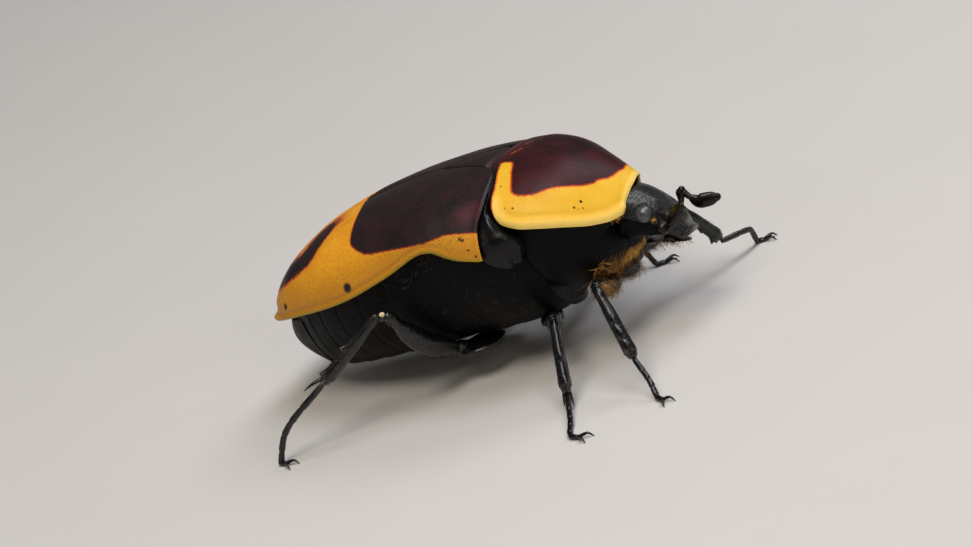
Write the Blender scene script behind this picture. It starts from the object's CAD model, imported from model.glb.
"""Sun beetle: the looks of the life-size still model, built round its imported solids.

The shapes are drawn in the body's frame in millimetres (x forward, y to the left, z up, with the
origin under the front of the wing cases), as the solids are, and then set in the stance in metres.
"""

import math

import bpy
import numpy as np
from mathutils import Matrix


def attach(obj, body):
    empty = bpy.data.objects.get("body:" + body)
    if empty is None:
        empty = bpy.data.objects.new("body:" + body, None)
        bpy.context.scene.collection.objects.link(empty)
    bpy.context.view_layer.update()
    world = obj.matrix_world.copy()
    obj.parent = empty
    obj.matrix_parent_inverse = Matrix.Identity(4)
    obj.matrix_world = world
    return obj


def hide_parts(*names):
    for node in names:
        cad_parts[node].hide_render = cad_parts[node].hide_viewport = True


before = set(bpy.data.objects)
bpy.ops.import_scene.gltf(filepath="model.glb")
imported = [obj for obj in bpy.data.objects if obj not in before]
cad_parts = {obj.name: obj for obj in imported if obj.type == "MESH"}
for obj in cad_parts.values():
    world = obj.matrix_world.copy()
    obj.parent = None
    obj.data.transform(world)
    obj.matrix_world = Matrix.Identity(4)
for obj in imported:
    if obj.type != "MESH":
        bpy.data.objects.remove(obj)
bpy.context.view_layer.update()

MM = 0.001

# Stance: how far the floor falls for each millimetre ahead and to the right, its height under the
# origin, which is below 0, and where the middle of the beetle comes.
FLOOR_FALL_AHEAD = 0.08
FLOOR_FALL_RIGHT = 0.11
FLOOR_UNDER_BODY = -7.08
CENTRE_SHIFT = (3.212, 1.024)

# Wing cases: half width, ridge height and edge height against x, and the front edge's x against
# the share of the half width.
WING_FRONT = 1.1
WING_REAR = -15.95
WING_HALF_WIDTH = ((1.1, 5.95), (0.2, 6.15), (-1.0, 6.2), (-3.0, 6.0), (-5.0, 5.95), (-8.0, 5.85),
                   (-10.0, 5.5), (-12.5, 4.6), (-14.5, 3.4), (-15.4, 2.25), (-15.95, 0.95))
WING_RIDGE = ((1.1, 3.58), (0.0, 3.66), (-2.0, 3.78), (-5.0, 3.74), (-8.0, 3.45), (-11.0, 2.78),
              (-13.0, 1.95), (-14.5, 0.95), (-15.3, 0.05), (-15.75, -0.6), (-15.95, -0.9))
WING_EDGE = ((1.1, 0.05), (0.0, 0.08), (-0.7, 0.25), (-1.3, 0.44), (-1.9, 0.7), (-2.4, 1.0),
             (-2.8, 1.18), (-3.3, 1.22), (-3.9, 1.12), (-4.7, 0.85), (-5.6, 0.54), (-6.9, 0.18),
             (-7.8, -0.05), (-9.3, -0.34), (-10.8, -0.52), (-12.5, -0.7), (-14.6, -0.98),
             (-15.95, -1.18))
WING_FRONT_EDGE = ((0.0, -0.16), (0.1, 0.2), (0.2, 0.38), (0.32, 0.42), (0.45, 0.4), (0.57, 0.36),
                   (0.64, 0.33), (0.74, 0.23), (0.83, 0.08), (0.89, 0.01), (0.94, -0.01),
                   (1.0, -0.04))
# Powers of the dome's cross-section, which is fuller than an ellipse.
DOME_ACROSS = 2.5
DOME_POWER = 1.9
SUTURE_HALF_GAP = 0.035
# The wing cases' inner side and the body's roof are their surface, drawn in towards this centre.
WING_CENTRE = (-8.0, 0.0, -0.9)
WING_WALL = (0.955, 0.955, 0.94)
BODY_UNDER_WING = (0.87, 0.865, 0.825)

# Scutellum: a triangle between the wing cases, with its front tucked in under the shield.
SCUTELLUM_GAP = 0.09
SCUTELLUM_FRONT = -0.65
SCUTELLUM_TUCK = 0.35
SCUTELLUM_TIP = -3.9
SCUTELLUM_TIP_GAP = 0.06
SCUTELLUM_HALF_WIDTH = 1.52
SCUTELLUM_THICKNESS = 0.4

# Shield over the prothorax: its crest as (u, x, z) and its side margin as (u, x, y, z), with u
# from 0 at the hind edge to 1 at the front edge.
SHIELD_CREST = ((0.0, -0.35, 3.66), (0.14, 0.6, 3.8), (0.28, 1.6, 3.77), (0.42, 2.6, 3.55),
                (0.56, 3.5, 3.19), (0.7, 4.3, 2.65), (0.85, 5.1, 1.88), (1.0, 5.85, 0.8))
SHIELD_MARGIN = ((0, 0.67, 4.67, 2.43), (0.1, 0.74, 4.95, 1.95), (0.2, 1.05, 5.13, 1.41),
                 (0.32, 1.77, 5.11, 0.97), (0.46, 2.6, 4.88, 0.68), (0.62, 3.67, 4.36, 0.27),
                 (0.8, 4.76, 3.46, -0.27), (0.92, 5.39, 2.77, -0.45), (1, 5.67, 2.21, -0.45))
# How far the hind edge has come from the crest to the margin, against the share of half width.
SHIELD_HIND_EDGE = ((0.0, 0.0), (0.3, 0.0), (0.55, 0.55), (0.8, 0.97), (1.0, 1.0))
# The front edge lies further ahead than the crest's last x, and bulges in the middle. Its left
# side lies further back, and the whole left side hangs lower.
FRONT_FORWARD = 0.2
FRONT_BULGE = 0.42
LEFT_FRONT_BACK = 0.25
LEFT_SIDE_DROP = 0.42
# The front turns to the left with the head, in degrees, about this x on the middle line.
SHIELD_TURN = 8.0
SHIELD_PIVOT = 5.0
# Its inner side and the roof of the prothorax are its surface, drawn in towards this centre.
SHIELD_CENTRE = (3.3, 0.0, -0.3)
SHIELD_WALL = (0.955, 0.96, 0.94)
PROTHORAX_UNDER_SHIELD = (0.87, 0.9, 0.85)
# Keel of the prothorax as (u, x, z).
PROTHORAX_KEEL = ((0.0, 0.5, -3.35), (0.4, 2.2, -3.8), (0.75, 3.9, -3.3), (1.0, 5.45, -2.45))

# Underside: keel height against x, the ends of thorax and abdomen, and the belly's plates, each
# of which stands a little proud of the next one at its hind edge.
BELLY_KEEL = ((1.2, -4.35), (0.0, -4.85), (-2.0, -4.98), (-5.0, -4.95), (-9.0, -4.95),
              (-12.0, -4.95), (-13.5, -4.7), (-14.8, -3.9))
THORAX_FRONT = 0.9
THORAX_REAR = -4.85
TRUNK_GAP = 0.06
ABDOMEN_REAR = -13.4
BELLY_PLATES = 6
BELLY_PLATE_STEP = 0.1
BELLY_SEAM_WIDTH = 0.988
TRUNK_HALF_SIDES = 30

# Pygidium: its half width, front and top, and how far it reaches down from there.
PYGIDIUM_HALF_WIDTH = 3.0
PYGIDIUM_FRONT = -13.55
PYGIDIUM_TOP = -1.5
PYGIDIUM_HEIGHT = 3.15

# Head, drawn straight: top x, top z, half width, depth and lean in degrees along its profile.
HEAD_STATIONS = ((5.5, 0.0, 1.45, 2.0, 20.0), (6.1, 0.4, 1.62, 2.75, 27.0),
                 (6.75, 0.1, 1.62, 2.85, 35.0), (7.35, -0.43, 1.6, 2.6, 45.0),
                 (7.8, -1.08, 1.52, 2.1, 55.0), (8.12, -1.8, 1.42, 1.5, 64.0),
                 (8.3, -2.4, 1.35, 1.0, 70.0), (8.38, -2.8, 1.2, 0.65, 74.0))
# It rolls and turns, in degrees, about the pivot's x and z, which come to the neck's x and y.
HEAD_PIVOT = (6.0, -1.0)
NECK = (5.93, -0.08)
HEAD_TURN = 15.0
HEAD_ROLL = 8.0
EYE_CENTRE = (6.52, 1.64, -1.1)
EYE_RADII = (0.46, 0.37, 0.43)
MOUTH_CENTRE = (6.9, 0.0, -2.6)
MOUTH_RADII = (1.1, 1.15, 0.27)
FEELER_PIT = (7.25, 1.6, -1.5)
# Feelers where they come to lie on the turned head: three points of the scape, then the base, the
# middle and the tip of the club.
FEELER_RIGHT = ((7.75, -1.85, -1.25), (7.92, -2.2, -1.55), (8.02, -2.25, -1.75),
                (8.2, -2.15, -1.7), (8.6, -2.15, -1.42), (9.45, -2.35, -0.72))
FEELER_LEFT = ((7.02, 2.2, -1.72), (7.05, 2.38, -1.35), (7.2, 2.38, -1.13), (7.45, 2.38, -1.55),
               (7.85, 2.5, -1.95), (8.75, 2.75, -2.05))

# Legs: hip, knee and ankle; then the heel as x, y and height over the floor, the toe as x and y,
# and the claws' length and their heading, ahead and to the left. An edge of -1 sets the shin's
# teeth on its other side, and teeth and spur stand for the pair's own.
LEGS = {
    "fore_right": dict(hip=(3.2, -1.75, -3.85), knee=(4.48, -4.5, -3.05), ankle=(6.2, -6.5, -6.7),
                       heel=(7.0, -7.3, 0.75), toe=(7.65, -8.0), claw=(0.85, 0.8, -0.6)),
    "fore_left": dict(hip=(3.2, 1.75, -3.85), knee=(5.3, 4.6, -2.45), ankle=(6.2, 6.4, -5.3),
                      heel=(6.85, 8.2, 1.15), toe=(6.95, 9.1), claw=(0.8, 0.95, 0.3), edge=-1.0,
                      teeth=((0.66, 0.08), (0.97, 0.2)), spur=0.3),
    "mid_right": dict(hip=(-0.3, -2.1, -4.8), knee=(1.87, -5.1, -3.95), ankle=(2.4, -7.5, -7.35),
                      heel=(3.1, -9.2, 0.3), toe=(4.1, -10.8), claw=(0.9, 0.95, -0.3)),
    "mid_left": dict(hip=(-0.3, 2.1, -4.8), knee=(-0.9, 6.2, -3.5), ankle=(-0.4, 7.5, -5.2),
                     heel=(0.6, 8.0, 0.95), toe=(1.4, 8.3), claw=(0.9, 0.9, 0.4)),
    "hind_right": dict(hip=(-4.6, -3.0, -5.1), knee=(-6.65, -6.5, -1.1),
                       ankle=(-10.64, -8.0, -3.65), heel=(-13.3, -8.85, 1.5),
                       toe=(-13.75, -9.05), claw=(0.85, 0.9, -0.4)),
    "hind_left": dict(hip=(-4.6, 3.0, -5.1), knee=(-6.4, 6.7, -2.0), ankle=(-10.2, 8.2, -3.9),
                      heel=(-12.0, 9.0, 0.7), toe=(-13.1, 9.8), claw=(1.0, -0.6, 0.8)),
}
# Sizes of each pair: the coxa's radii; the thigh's two radii, its bow and how steeply it leaves
# the coxa; the shin's radius and flatness; the tarsus's radius; the shin's teeth as (share of its
# length, height); the spurs' length.
LEG_SIZES = {
    "fore": dict(coxa=(0.8, 0.68, 0.6), femur=0.5, femur_flat=0.38, bow=0.1, rise=1.0,
                 tibia=0.31, flat=0.98, tarsus=0.2,
                 teeth=((0.52, 0.2), (0.76, 0.26), (0.97, 0.3)), spur=0.7),
    "mid": dict(coxa=(0.6, 0.75, 0.4), femur=0.44, femur_flat=0.35, bow=0.15, rise=1.0,
                tibia=0.3, flat=0.95, tarsus=0.2, teeth=((0.6, 0.18), (0.97, 0.14)), spur=1.0),
    "hind": dict(coxa=(1.3, 1.5, 0.4), femur=0.62, femur_flat=0.45, bow=0.35, rise=0.3,
                 tibia=0.34, flat=0.78, tarsus=0.22, teeth=((0.55, 0.19), (0.97, 0.15)), spur=1.1),
}

# Radii at the joints, the gap between two rounded ends, and the heights over the floor of a toe's
# middle and of a spur's tip.
KNEE_RADIUS = 0.33
SHIN_TOP_RADIUS = 0.27
ANKLE_RADIUS = 0.24
JOINT_GAP = 0.3
TOE_HEIGHT = 0.11
SPUR_CLEARANCE = 0.2
# Where the five joints of a tarsus begin and end, as shares of its length, and the gap they keep.
TARSUS_STOPS = (0.0, 0.31, 0.48, 0.64, 0.79, 1.0)
TARSUS_GAP = 0.008

# Hair: how deep the roots sit, how far the tips stay off the floor, and the length of a hair's
# patch in the bake map as a share of the map.
ROOT_DEPTH = 0.02
HAIR_FLOOR_GAP = 0.2
HAIR_PATCH = 0.003

# Camera in the body's frame, fitted to the photograph.
CAMERA_RIGHT = (0.835, 0.411, -0.366)
CAMERA_UP = (0.222, 0.358, 0.907)
CAMERA_BACK = (0.504, -0.838, 0.208)
CAMERA_DISTANCE = 220.0
CAMERA_LENS = 160.5
CAMERA_SHIFT = (-0.0518, -0.0576)


# Curves, frames and meshes

# Edges that bend more than this, in degrees, are shaded as sharp.
SHARP_ANGLE = 50.0
# Latitudes of the rings that round off the end of a limb.
END_ANGLES = (25.0, 48.0, 68.0, 85.0)
# A tooth of a shin rises and drops over these shares of its length.
TOOTH_RISE = 0.13
TOOTH_DROP = 0.03


def smooth(table):
    """Return a smooth monotone curve through (x, value) pairs, for numbers or arrays."""
    pairs = sorted(table)
    x = np.array([p[0] for p in pairs], float)
    v = np.array([p[1] for p in pairs], float)
    step = np.diff(x)
    slope = np.diff(v) / step
    tangent = np.empty_like(v)
    tangent[0] = slope[0]
    tangent[-1] = slope[-1]
    for i in range(1, len(v) - 1):
        if slope[i - 1] * slope[i] <= 0.0:
            tangent[i] = 0.0
        else:
            a = 2.0 * step[i] + step[i - 1]
            b = step[i] + 2.0 * step[i - 1]
            tangent[i] = (a + b) / (a / slope[i - 1] + b / slope[i])

    def value(at):
        at = np.clip(np.asarray(at, float), x[0], x[-1])
        i = np.clip(np.searchsorted(x, at, side="right") - 1, 0, len(step) - 1)
        t = (at - x[i]) / step[i]
        return (v[i] * (1 + 2 * t) * (1 - t) ** 2 + tangent[i] * step[i] * t * (1 - t) ** 2
                + v[i + 1] * t * t * (3 - 2 * t) + tangent[i + 1] * step[i] * t * t * (t - 1))

    return value


def unit(v):
    """Directions of length 1."""
    v = np.asarray(v, float)
    return v / np.maximum(np.linalg.norm(v, axis=-1, keepdims=True), 1e-12)


def hump(d, width):
    """1 where d is 0, fading to 0 over a few widths on both sides."""
    return np.exp(-(d / width) ** 2)


def beads(distance, lines):
    """Raised lines and grooves along an edge, each as (height, distance from it, width) in mm."""
    return sum(tall * hump(distance - at, width) for tall, at, width in lines)


def swell(x, y, centre, reach):
    """1 at a centre, fading to 0 over its reach in each of two directions."""
    return np.exp(-((x - centre[0]) / reach[0]) ** 2 - ((y - centre[1]) / reach[1]) ** 2)


def ease(value, start, end):
    """Smooth step from 0 at start to 1 at end."""
    t = np.clip((value - start) / (end - start), 0.0, 1.0)
    return t * t * (3.0 - 2.0 * t)


FLOOR_UP = unit((FLOOR_FALL_AHEAD, -FLOOR_FALL_RIGHT, 1.0))
STANCE_X = unit(np.array((1.0, 0.0, 0.0)) - FLOOR_UP[0] * FLOOR_UP)
STANCE_Y = np.cross(FLOOR_UP, STANCE_X)
LIFT = -FLOOR_UNDER_BODY * FLOOR_UP[2]
TO_STANCE = np.stack([STANCE_X, STANCE_Y, FLOOR_UP])


def to_stance(points):
    """Body frame in mm to the stance in metres, where the floor is z = 0."""
    return (np.asarray(points, float) @ TO_STANCE.T + (*CENTRE_SHIFT, LIFT)) * MM


def height(point):
    """Height of a point of the body's frame over the floor, in mm."""
    return float(np.dot(point, FLOOR_UP)) + LIFT


def above_floor(x, y, h):
    """Point of the body's frame at (x, y) that stands h mm above the floor."""
    z = (h - LIFT - x * FLOOR_UP[0] - y * FLOOR_UP[1]) / FLOOR_UP[2]
    return np.array((x, y, z))


def scaled(points, centre, factors):
    """Points drawn in towards a centre, by a factor along each axis."""
    centre = np.asarray(centre, float)
    return centre + (np.asarray(points, float) - centre) * np.asarray(factors, float)


def grid_normals(grid, wrap):
    """Unit normals of a grid of points, away from its middle; a wrapped grid closes on itself."""
    down = np.gradient(grid, axis=0)
    if wrap:
        across = (np.roll(grid, -1, axis=1) - np.roll(grid, 1, axis=1)) * 0.5
    else:
        across = np.gradient(grid, axis=1)
    normal = unit(np.cross(down, across))
    middle = grid.reshape(-1, 3).mean(axis=0)
    if np.sum(normal * (grid - middle)) < 0.0:
        normal = -normal
    return normal


def relief(grid, lift, wrap=False):
    """The grid, lifted along its normals."""
    return grid + grid_normals(grid, wrap) * np.asarray(lift)[..., None]


def shell(verts, faces, values, finish):
    """Closed surface with its faces turned outwards, its values by point and its finish's place."""
    verts = np.asarray(verts, float).reshape(-1, 3)
    volume = 0.0
    for face in faces:
        a = verts[face[0]]
        for i in range(1, len(face) - 1):
            volume += np.dot(a, np.cross(verts[face[i]], verts[face[i + 1]]))
    if volume < 0.0:
        faces = [tuple(reversed(face)) for face in faces]
    return dict(verts=verts, faces=faces, values=values, finish=finish)


def ring_shell(rings, finish=0):
    """Closed surface over rings of equal length, each end closed by a fan."""
    rings = np.asarray(rings, float)
    rows, count = rings.shape[:2]
    faces = []
    for i in range(rows - 1):
        for j in range(count):
            k = (j + 1) % count
            faces.append((i * count + j, i * count + k, (i + 1) * count + k, (i + 1) * count + j))
    hubs = [rings[0].mean(axis=0), rings[-1].mean(axis=0)]
    for base, hub in ((0, rows * count), ((rows - 1) * count, rows * count + 1)):
        for j in range(count):
            pair = (base + j, base + (j + 1) % count)
            faces.append((*(pair if base else reversed(pair)), hub))
    return shell(np.concatenate([rings.reshape(-1, 3), hubs]), faces, {}, finish)


def plate_shell(outer, inner, values=None):
    """Closed plate between two grids of the same size, with values for the finish by grid point."""
    rows, cols = outer.shape[:2]
    half = rows * cols
    faces = []
    for i in range(rows - 1):
        for j in range(cols - 1):
            a = i * cols + j
            faces.append((a, a + 1, a + cols + 1, a + cols))
            faces.append((half + a, half + a + cols, half + a + cols + 1, half + a + 1))
    rim = list(range(cols)) + [i * cols + cols - 1 for i in range(1, rows)]
    rim += [(rows - 1) * cols + j for j in range(cols - 2, -1, -1)]
    rim += [i * cols for i in range(rows - 2, 0, -1)]
    for a, b in zip(rim, rim[1:] + rim[:1]):
        faces.append((b, a, half + a, half + b))
    verts = np.concatenate([outer.reshape(-1, 3), inner.reshape(-1, 3)])
    given = {}
    for name, value in (values or {}).items():
        flat = np.asarray(value, float).reshape(-1)
        given[name] = np.concatenate([flat, flat])
    return shell(verts, faces, given, 0)


def make_piece(name, shells, finishes, nodes, floor=False):
    """Join closed shells to one mesh in the stance, which stands for the CAD nodes.

    With floor, nothing of it goes under the floor.
    """
    verts, faces, marks, base = [], [], [], 0
    names = sorted({n for s in shells for n in s["values"]})
    values = {n: [] for n in names}
    for s in shells:
        verts.append(s["verts"])
        faces += [tuple(base + i for i in f) for f in s["faces"]]
        marks += s["finish"] if isinstance(s["finish"], list) else [s["finish"]] * len(s["faces"])
        for n in names:
            values[n].append(np.asarray(s["values"].get(n, np.zeros(len(s["verts"]))), float))
        base += len(s["verts"])
    points = to_stance(np.concatenate(verts))
    if floor:
        points[:, 2] = np.maximum(points[:, 2], 0.0)
    mesh = bpy.data.meshes.new(name)
    mesh.from_pydata(points.tolist(), [], faces)
    for finish in finishes:
        mesh.materials.append(finish)
    mesh.polygons.foreach_set("material_index", np.array(marks, np.int32))
    for n in names:
        layer = mesh.attributes.new(n, "FLOAT", "POINT")
        layer.data.foreach_set("value", np.concatenate(values[n]).astype(np.float32))
    mesh.update()
    mesh.shade_smooth()
    mesh.set_sharp_from_angle(angle=math.radians(SHARP_ANGLE))
    piece = bpy.data.objects.new(name, mesh)
    bpy.context.scene.collection.objects.link(piece)
    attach(piece, "root")
    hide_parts(*nodes)


def limb_rings(path, radii, sides, steps, flat=1.0, out=None, teeth=(), ridge=0.0,
               span=(0.0, 1.0)):
    """Rings of a tapered limb along a smooth path, with round ends, side teeth and keels.

    The teeth point along out, flat is the width across it as a share of the width along it, and
    span is the part of the path that the limb takes up.
    """
    points = np.array(path, float)
    along = np.concatenate([[0.0], np.cumsum(np.linalg.norm(np.diff(points, axis=0), axis=1))])
    axis = [smooth(list(zip(along, points[:, c]))) for c in range(3)]
    radius = smooth(radii)
    places = np.linspace(0.0, 1.0, steps + 1)
    if teeth:
        extra = [[at - 0.12, at - 0.06, at - 0.02, at, at + 0.01, at + 0.025] for at, _ in teeth]
        places = np.unique(np.round(np.clip(np.concatenate([places, *extra]), 0.0, 1.0), 4))
    whole = span[0] + (span[1] - span[0]) * places
    centres = np.stack([f(along[-1] * whole) for f in axis], axis=-1)
    tangents = unit(np.gradient(centres, whole, axis=0))
    reference = unit(out) if out is not None else unit(np.cross(tangents[0], (0.31, 0.17, 0.93)))
    turn = 2.0 * math.pi * np.arange(sides) / sides
    rings = []

    def add_ring(centre, tangent, r, tall=0.0):
        side = unit(reference - np.dot(reference, tangent) * tangent)
        other = np.cross(tangent, side)
        keel = 1.0 + ridge * np.cos(4.0 * turn)
        grow = tall * np.maximum(0.0, np.cos(turn)) ** 6
        rings.append(centre + np.outer(r * keel * np.cos(turn) + grow, side)
                     + np.outer(r * flat * keel * np.sin(turn), other))

    def tooth(p):
        tall = 0.0
        for at, tip in teeth:
            if at - TOOTH_RISE < p <= at:
                tall = max(tall, tip * ((p - at + TOOTH_RISE) / TOOTH_RISE) ** 1.6)
            elif at < p < at + TOOTH_DROP:
                tall = max(tall, tip * (1.0 - (p - at) / TOOTH_DROP) ** 1.5)
        return tall

    r = radius(0.0)
    for a in reversed(END_ANGLES):
        add_ring(centres[0] - tangents[0] * r * math.sin(math.radians(a)), tangents[0],
                 r * math.cos(math.radians(a)))
    for p, c, t in zip(places, centres, tangents):
        add_ring(c, t, radius(p), tooth(p))
    r = radius(1.0)
    for a in END_ANGLES:
        add_ring(centres[-1] + tangents[-1] * r * math.sin(math.radians(a)), tangents[-1],
                 r * math.cos(math.radians(a)))
    return np.array(rings)


def ball_rings(centre, radii, count, rows):
    """Rings of an ellipsoid, from its front to its rear."""
    a = np.linspace(0.03, math.pi - 0.03, rows)[:, None]
    t = (2.0 * math.pi * np.arange(count) / count)[None, :]
    return np.stack([centre[0] + radii[0] * np.cos(a) * np.ones_like(t),
                     centre[1] + radii[1] * np.sin(a) * np.cos(t),
                     centre[2] + radii[2] * np.sin(a) * np.sin(t)], axis=-1)


# Finishes

def linear(hex_colour):
    """sRGB hex colour to the linear colour that the shader takes."""
    parts = [int(hex_colour[i:i + 2], 16) / 255.0 for i in (1, 3, 5)]
    return (*[c / 12.92 if c <= 0.04045 else ((c + 0.055) / 1.055) ** 2.4 for c in parts], 1.0)


# Inputs of a Mix node for colours and its output, which share their names with those for numbers.
FACTOR, UNDER, OVER, MIXED = 0, 6, 7, 2


def add(tree, kind, inputs=None, stops=(), **settings):
    """Add one node: its settings, and for each input a value or the output that feeds it.

    A colour ramp also has its stops, as (place, hex colour).
    """
    made = tree.nodes.new(kind)
    for number, (place, colour) in enumerate(stops):
        band = made.color_ramp.elements
        if number == len(band):
            band.new(place)
        band[number].position = place
        band[number].color = linear(colour)
    for name, value in settings.items():
        setattr(made, name, value)
    for key, value in (inputs or {}).items():
        if isinstance(value, bpy.types.NodeSocket):
            tree.links.new(value, made.inputs[key])
        else:
            made.inputs[key].default_value = value
    return made


def new_finish(name, **sockets):
    """Material with a Principled shader whose plain sockets are set directly."""
    finish = bpy.data.materials.new(name)
    finish.use_nodes = True
    tree = finish.node_tree
    shader = tree.nodes["Principled BSDF"]
    for key, value in sockets.items():
        shader.inputs[key.replace("_", " ")].default_value = value
    return finish, tree, shader


def per_mm(size):
    """Scale of a pattern whose cells are size mm across, on Object coordinates in metres."""
    return 1.0 / (size * MM)


def pits(tree, place, spacing, radius):
    """Punctures: 0 in the middle of a pit, 1 between pits; sizes in mm."""
    cells = add(tree, "ShaderNodeTexVoronoi", {"Vector": place, "Scale": per_mm(spacing),
                                               "Randomness": 0.85})
    edge = radius / spacing
    return add(tree, "ShaderNodeMapRange", {"Value": cells.outputs["Distance"],
                                            "From Min": edge * 0.45, "From Max": edge},
               interpolation_type="SMOOTHSTEP").outputs["Result"]


def finish_cuticle(tree, shader, colour, hole, grain, grain_share, depth, patches, rough):
    """Give a cuticle its colour, its relief and a roughness that varies with the patches.

    The relief is depth mm deep, with the punctures in full and the grain by its share.
    """
    height = add(tree, "ShaderNodeMath", {0: grain, 1: grain_share, 2: hole},
                 operation="MULTIPLY_ADD").outputs[0]
    bump = add(tree, "ShaderNodeBump", {"Height": height, "Strength": 0.8, "Distance": depth * MM})
    rough_here = add(tree, "ShaderNodeMapRange", {"Value": patches, "From Min": 0.3,
                                                  "From Max": 0.7, "To Min": rough[0],
                                                  "To Max": rough[1]})
    tree.links.new(colour, shader.inputs["Base Color"])
    tree.links.new(rough_here.outputs["Result"], shader.inputs["Roughness"])
    tree.links.new(bump.outputs["Normal"], shader.inputs["Normal"])


# Noise moves the edge of a marking by up to half of this to each side, in mm.
FRAY = 0.14


def marked_cuticle(name, yellow, olive, rim_colour, rim_width, ring, disc, edge, pit, pit_depth,
                   rough, gloss, coat):
    """Cuticle in yellow and maroon, drawn by the piece's own values.

    mark is the distance into the maroon and rim that from the side edge, both in mm; blush, spot
    and pock say how red the maroon is and where black spots and pocks lie. yellow and disc are
    cloudy tones, and ring the tones across the marking's edge, which is twice edge wide. pit is
    the punctures' spacing and radius, and how brown they are in the darker and paler clouds.
    """
    finish, tree, shader = new_finish(name, IOR=1.5, Specular_IOR_Level=gloss, Coat_Weight=coat,
                                      Coat_Roughness=0.2, Coat_IOR=1.45)
    place = add(tree, "ShaderNodeTexCoord").outputs["Object"]
    mark, rim, blush, spot, pock = (
        add(tree, "ShaderNodeAttribute", attribute_name=title).outputs["Fac"]
        for title in ("mark", "rim", "blush", "spot", "pock"))
    spacing, radius, fewest, most = pit
    hole = pits(tree, place, spacing, radius)
    dots = add(tree, "ShaderNodeMath", {0: 1.0, 1: hole}, operation="SUBTRACT").outputs[0]
    # A frayed edge: the noise is about 0.14 mm across and moves the edge by 0.03 mm as a rule.
    fray = add(tree, "ShaderNodeTexNoise", {"Vector": place, "Scale": per_mm(0.14), "Detail": 3.0,
                                            "Roughness": 0.65}).outputs["Fac"]
    moved = add(tree, "ShaderNodeMath", {0: fray, 1: FRAY, 2: mark}, operation="MULTIPLY_ADD")
    spread = add(tree, "ShaderNodeMapRange", {"Value": moved.outputs[0],
                                              "From Min": 0.5 * FRAY - edge,
                                              "From Max": 0.5 * FRAY + edge}).outputs["Result"]
    # Soft clouds about 1.6 mm across in the yellow and 1.3 mm in the dark disc.
    cloud = add(tree, "ShaderNodeTexNoise", {"Vector": place, "Scale": per_mm(1.6), "Detail": 5.0,
                                             "Roughness": 0.62}).outputs["Fac"]
    dark_cloud = add(tree, "ShaderNodeTexNoise", {"Vector": place, "Scale": per_mm(1.3),
                                                  "Detail": 6.0, "Roughness": 0.7}).outputs["Fac"]
    pale = add(tree, "ShaderNodeValToRGB", {"Fac": cloud},
               stops=zip((0.34, 0.5, 0.66), yellow)).outputs["Color"]
    deep = add(tree, "ShaderNodeValToRGB", {"Fac": dark_cloud},
               stops=zip((0.34, 0.5, 0.68), disc)).outputs["Color"]
    # A red blush in the clouds of the maroon.
    red = add(tree, "ShaderNodeMath", {0: dark_cloud, 1: blush}, operation="MULTIPLY").outputs[0]
    red = add(tree, "ShaderNodeMapRange", {"Value": red, "From Min": 0.1,
                                           "From Max": 0.5}).outputs["Result"]
    deep = add(tree, "ShaderNodeMix", {FACTOR: red, UNDER: deep, OVER: linear(disc[3])},
               data_type="RGBA").outputs[MIXED]
    # The yellow changes tone in the lowest 2.4 mm of the side, and again on the edge's bead.
    near_rim = add(tree, "ShaderNodeMapRange", {"Value": rim, "From Min": rim_width * 0.6,
                                                "From Max": rim_width * 1.8, "To Min": 1.0,
                                                "To Max": 0.0}).outputs["Result"]
    low_side = add(tree, "ShaderNodeMapRange", {"Value": rim, "From Min": 0.4, "From Max": 2.4,
                                                "To Min": 0.85, "To Max": 0.0}).outputs["Result"]
    pale = add(tree, "ShaderNodeMix", {FACTOR: low_side, UNDER: pale, OVER: linear(olive)},
               data_type="RGBA").outputs[MIXED]
    pale = add(tree, "ShaderNodeMix", {FACTOR: near_rim, UNDER: pale, OVER: linear(rim_colour)},
               data_type="RGBA").outputs[MIXED]
    # Brown dots at the punctures of the yellow parts, more of them in some clouds.
    patches = add(tree, "ShaderNodeMapRange", {"Value": cloud, "From Min": 0.4, "From Max": 0.6,
                                               "To Min": fewest, "To Max": most}).outputs["Result"]
    brown = add(tree, "ShaderNodeMath", {0: dots, 1: patches}, operation="MULTIPLY").outputs[0]
    pale = add(tree, "ShaderNodeMix", {FACTOR: brown, UNDER: pale, OVER: linear("#6B3E0C")},
               data_type="RGBA").outputs[MIXED]
    # From yellow through the ring of orange and red-brown into the maroon.
    ring = add(tree, "ShaderNodeValToRGB", {"Fac": spread},
               stops=zip((0.0, 0.2, 0.36, 0.5, 0.66, 0.85), ring)).outputs["Color"]
    whole = add(tree, "ShaderNodeMapRange", {"Value": spread, "From Min": 0.0, "From Max": 0.3},
                interpolation_type="SMOOTHSTEP").outputs["Result"]
    colour = add(tree, "ShaderNodeMix", {FACTOR: whole, UNDER: pale, OVER: ring},
                 data_type="RGBA").outputs[MIXED]
    inner = add(tree, "ShaderNodeMapRange", {"Value": spread, "From Min": 0.55, "From Max": 0.95},
                interpolation_type="SMOOTHSTEP").outputs["Result"]
    colour = add(tree, "ShaderNodeMix", {FACTOR: inner, UNDER: colour, OVER: deep},
                 data_type="RGBA").outputs[MIXED]
    # Black spots with a frayed outline, and black pocks where the punctures crowd.
    frayed_spot = add(tree, "ShaderNodeMath", {0: fray, 1: 0.5, 2: spot}, operation="MULTIPLY_ADD")
    stained = add(tree, "ShaderNodeMapRange", {"Value": frayed_spot.outputs[0], "From Min": 0.6,
                                               "From Max": 0.98}).outputs["Result"]
    pocked = add(tree, "ShaderNodeMath", {0: dots, 1: pock}, operation="MULTIPLY").outputs[0]
    stained = add(tree, "ShaderNodeMath", {0: stained, 1: pocked}, operation="MAXIMUM").outputs[0]
    colour = add(tree, "ShaderNodeMix", {FACTOR: stained, UNDER: colour, OVER: linear("#120B08")},
                 data_type="RGBA").outputs[MIXED]
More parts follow.
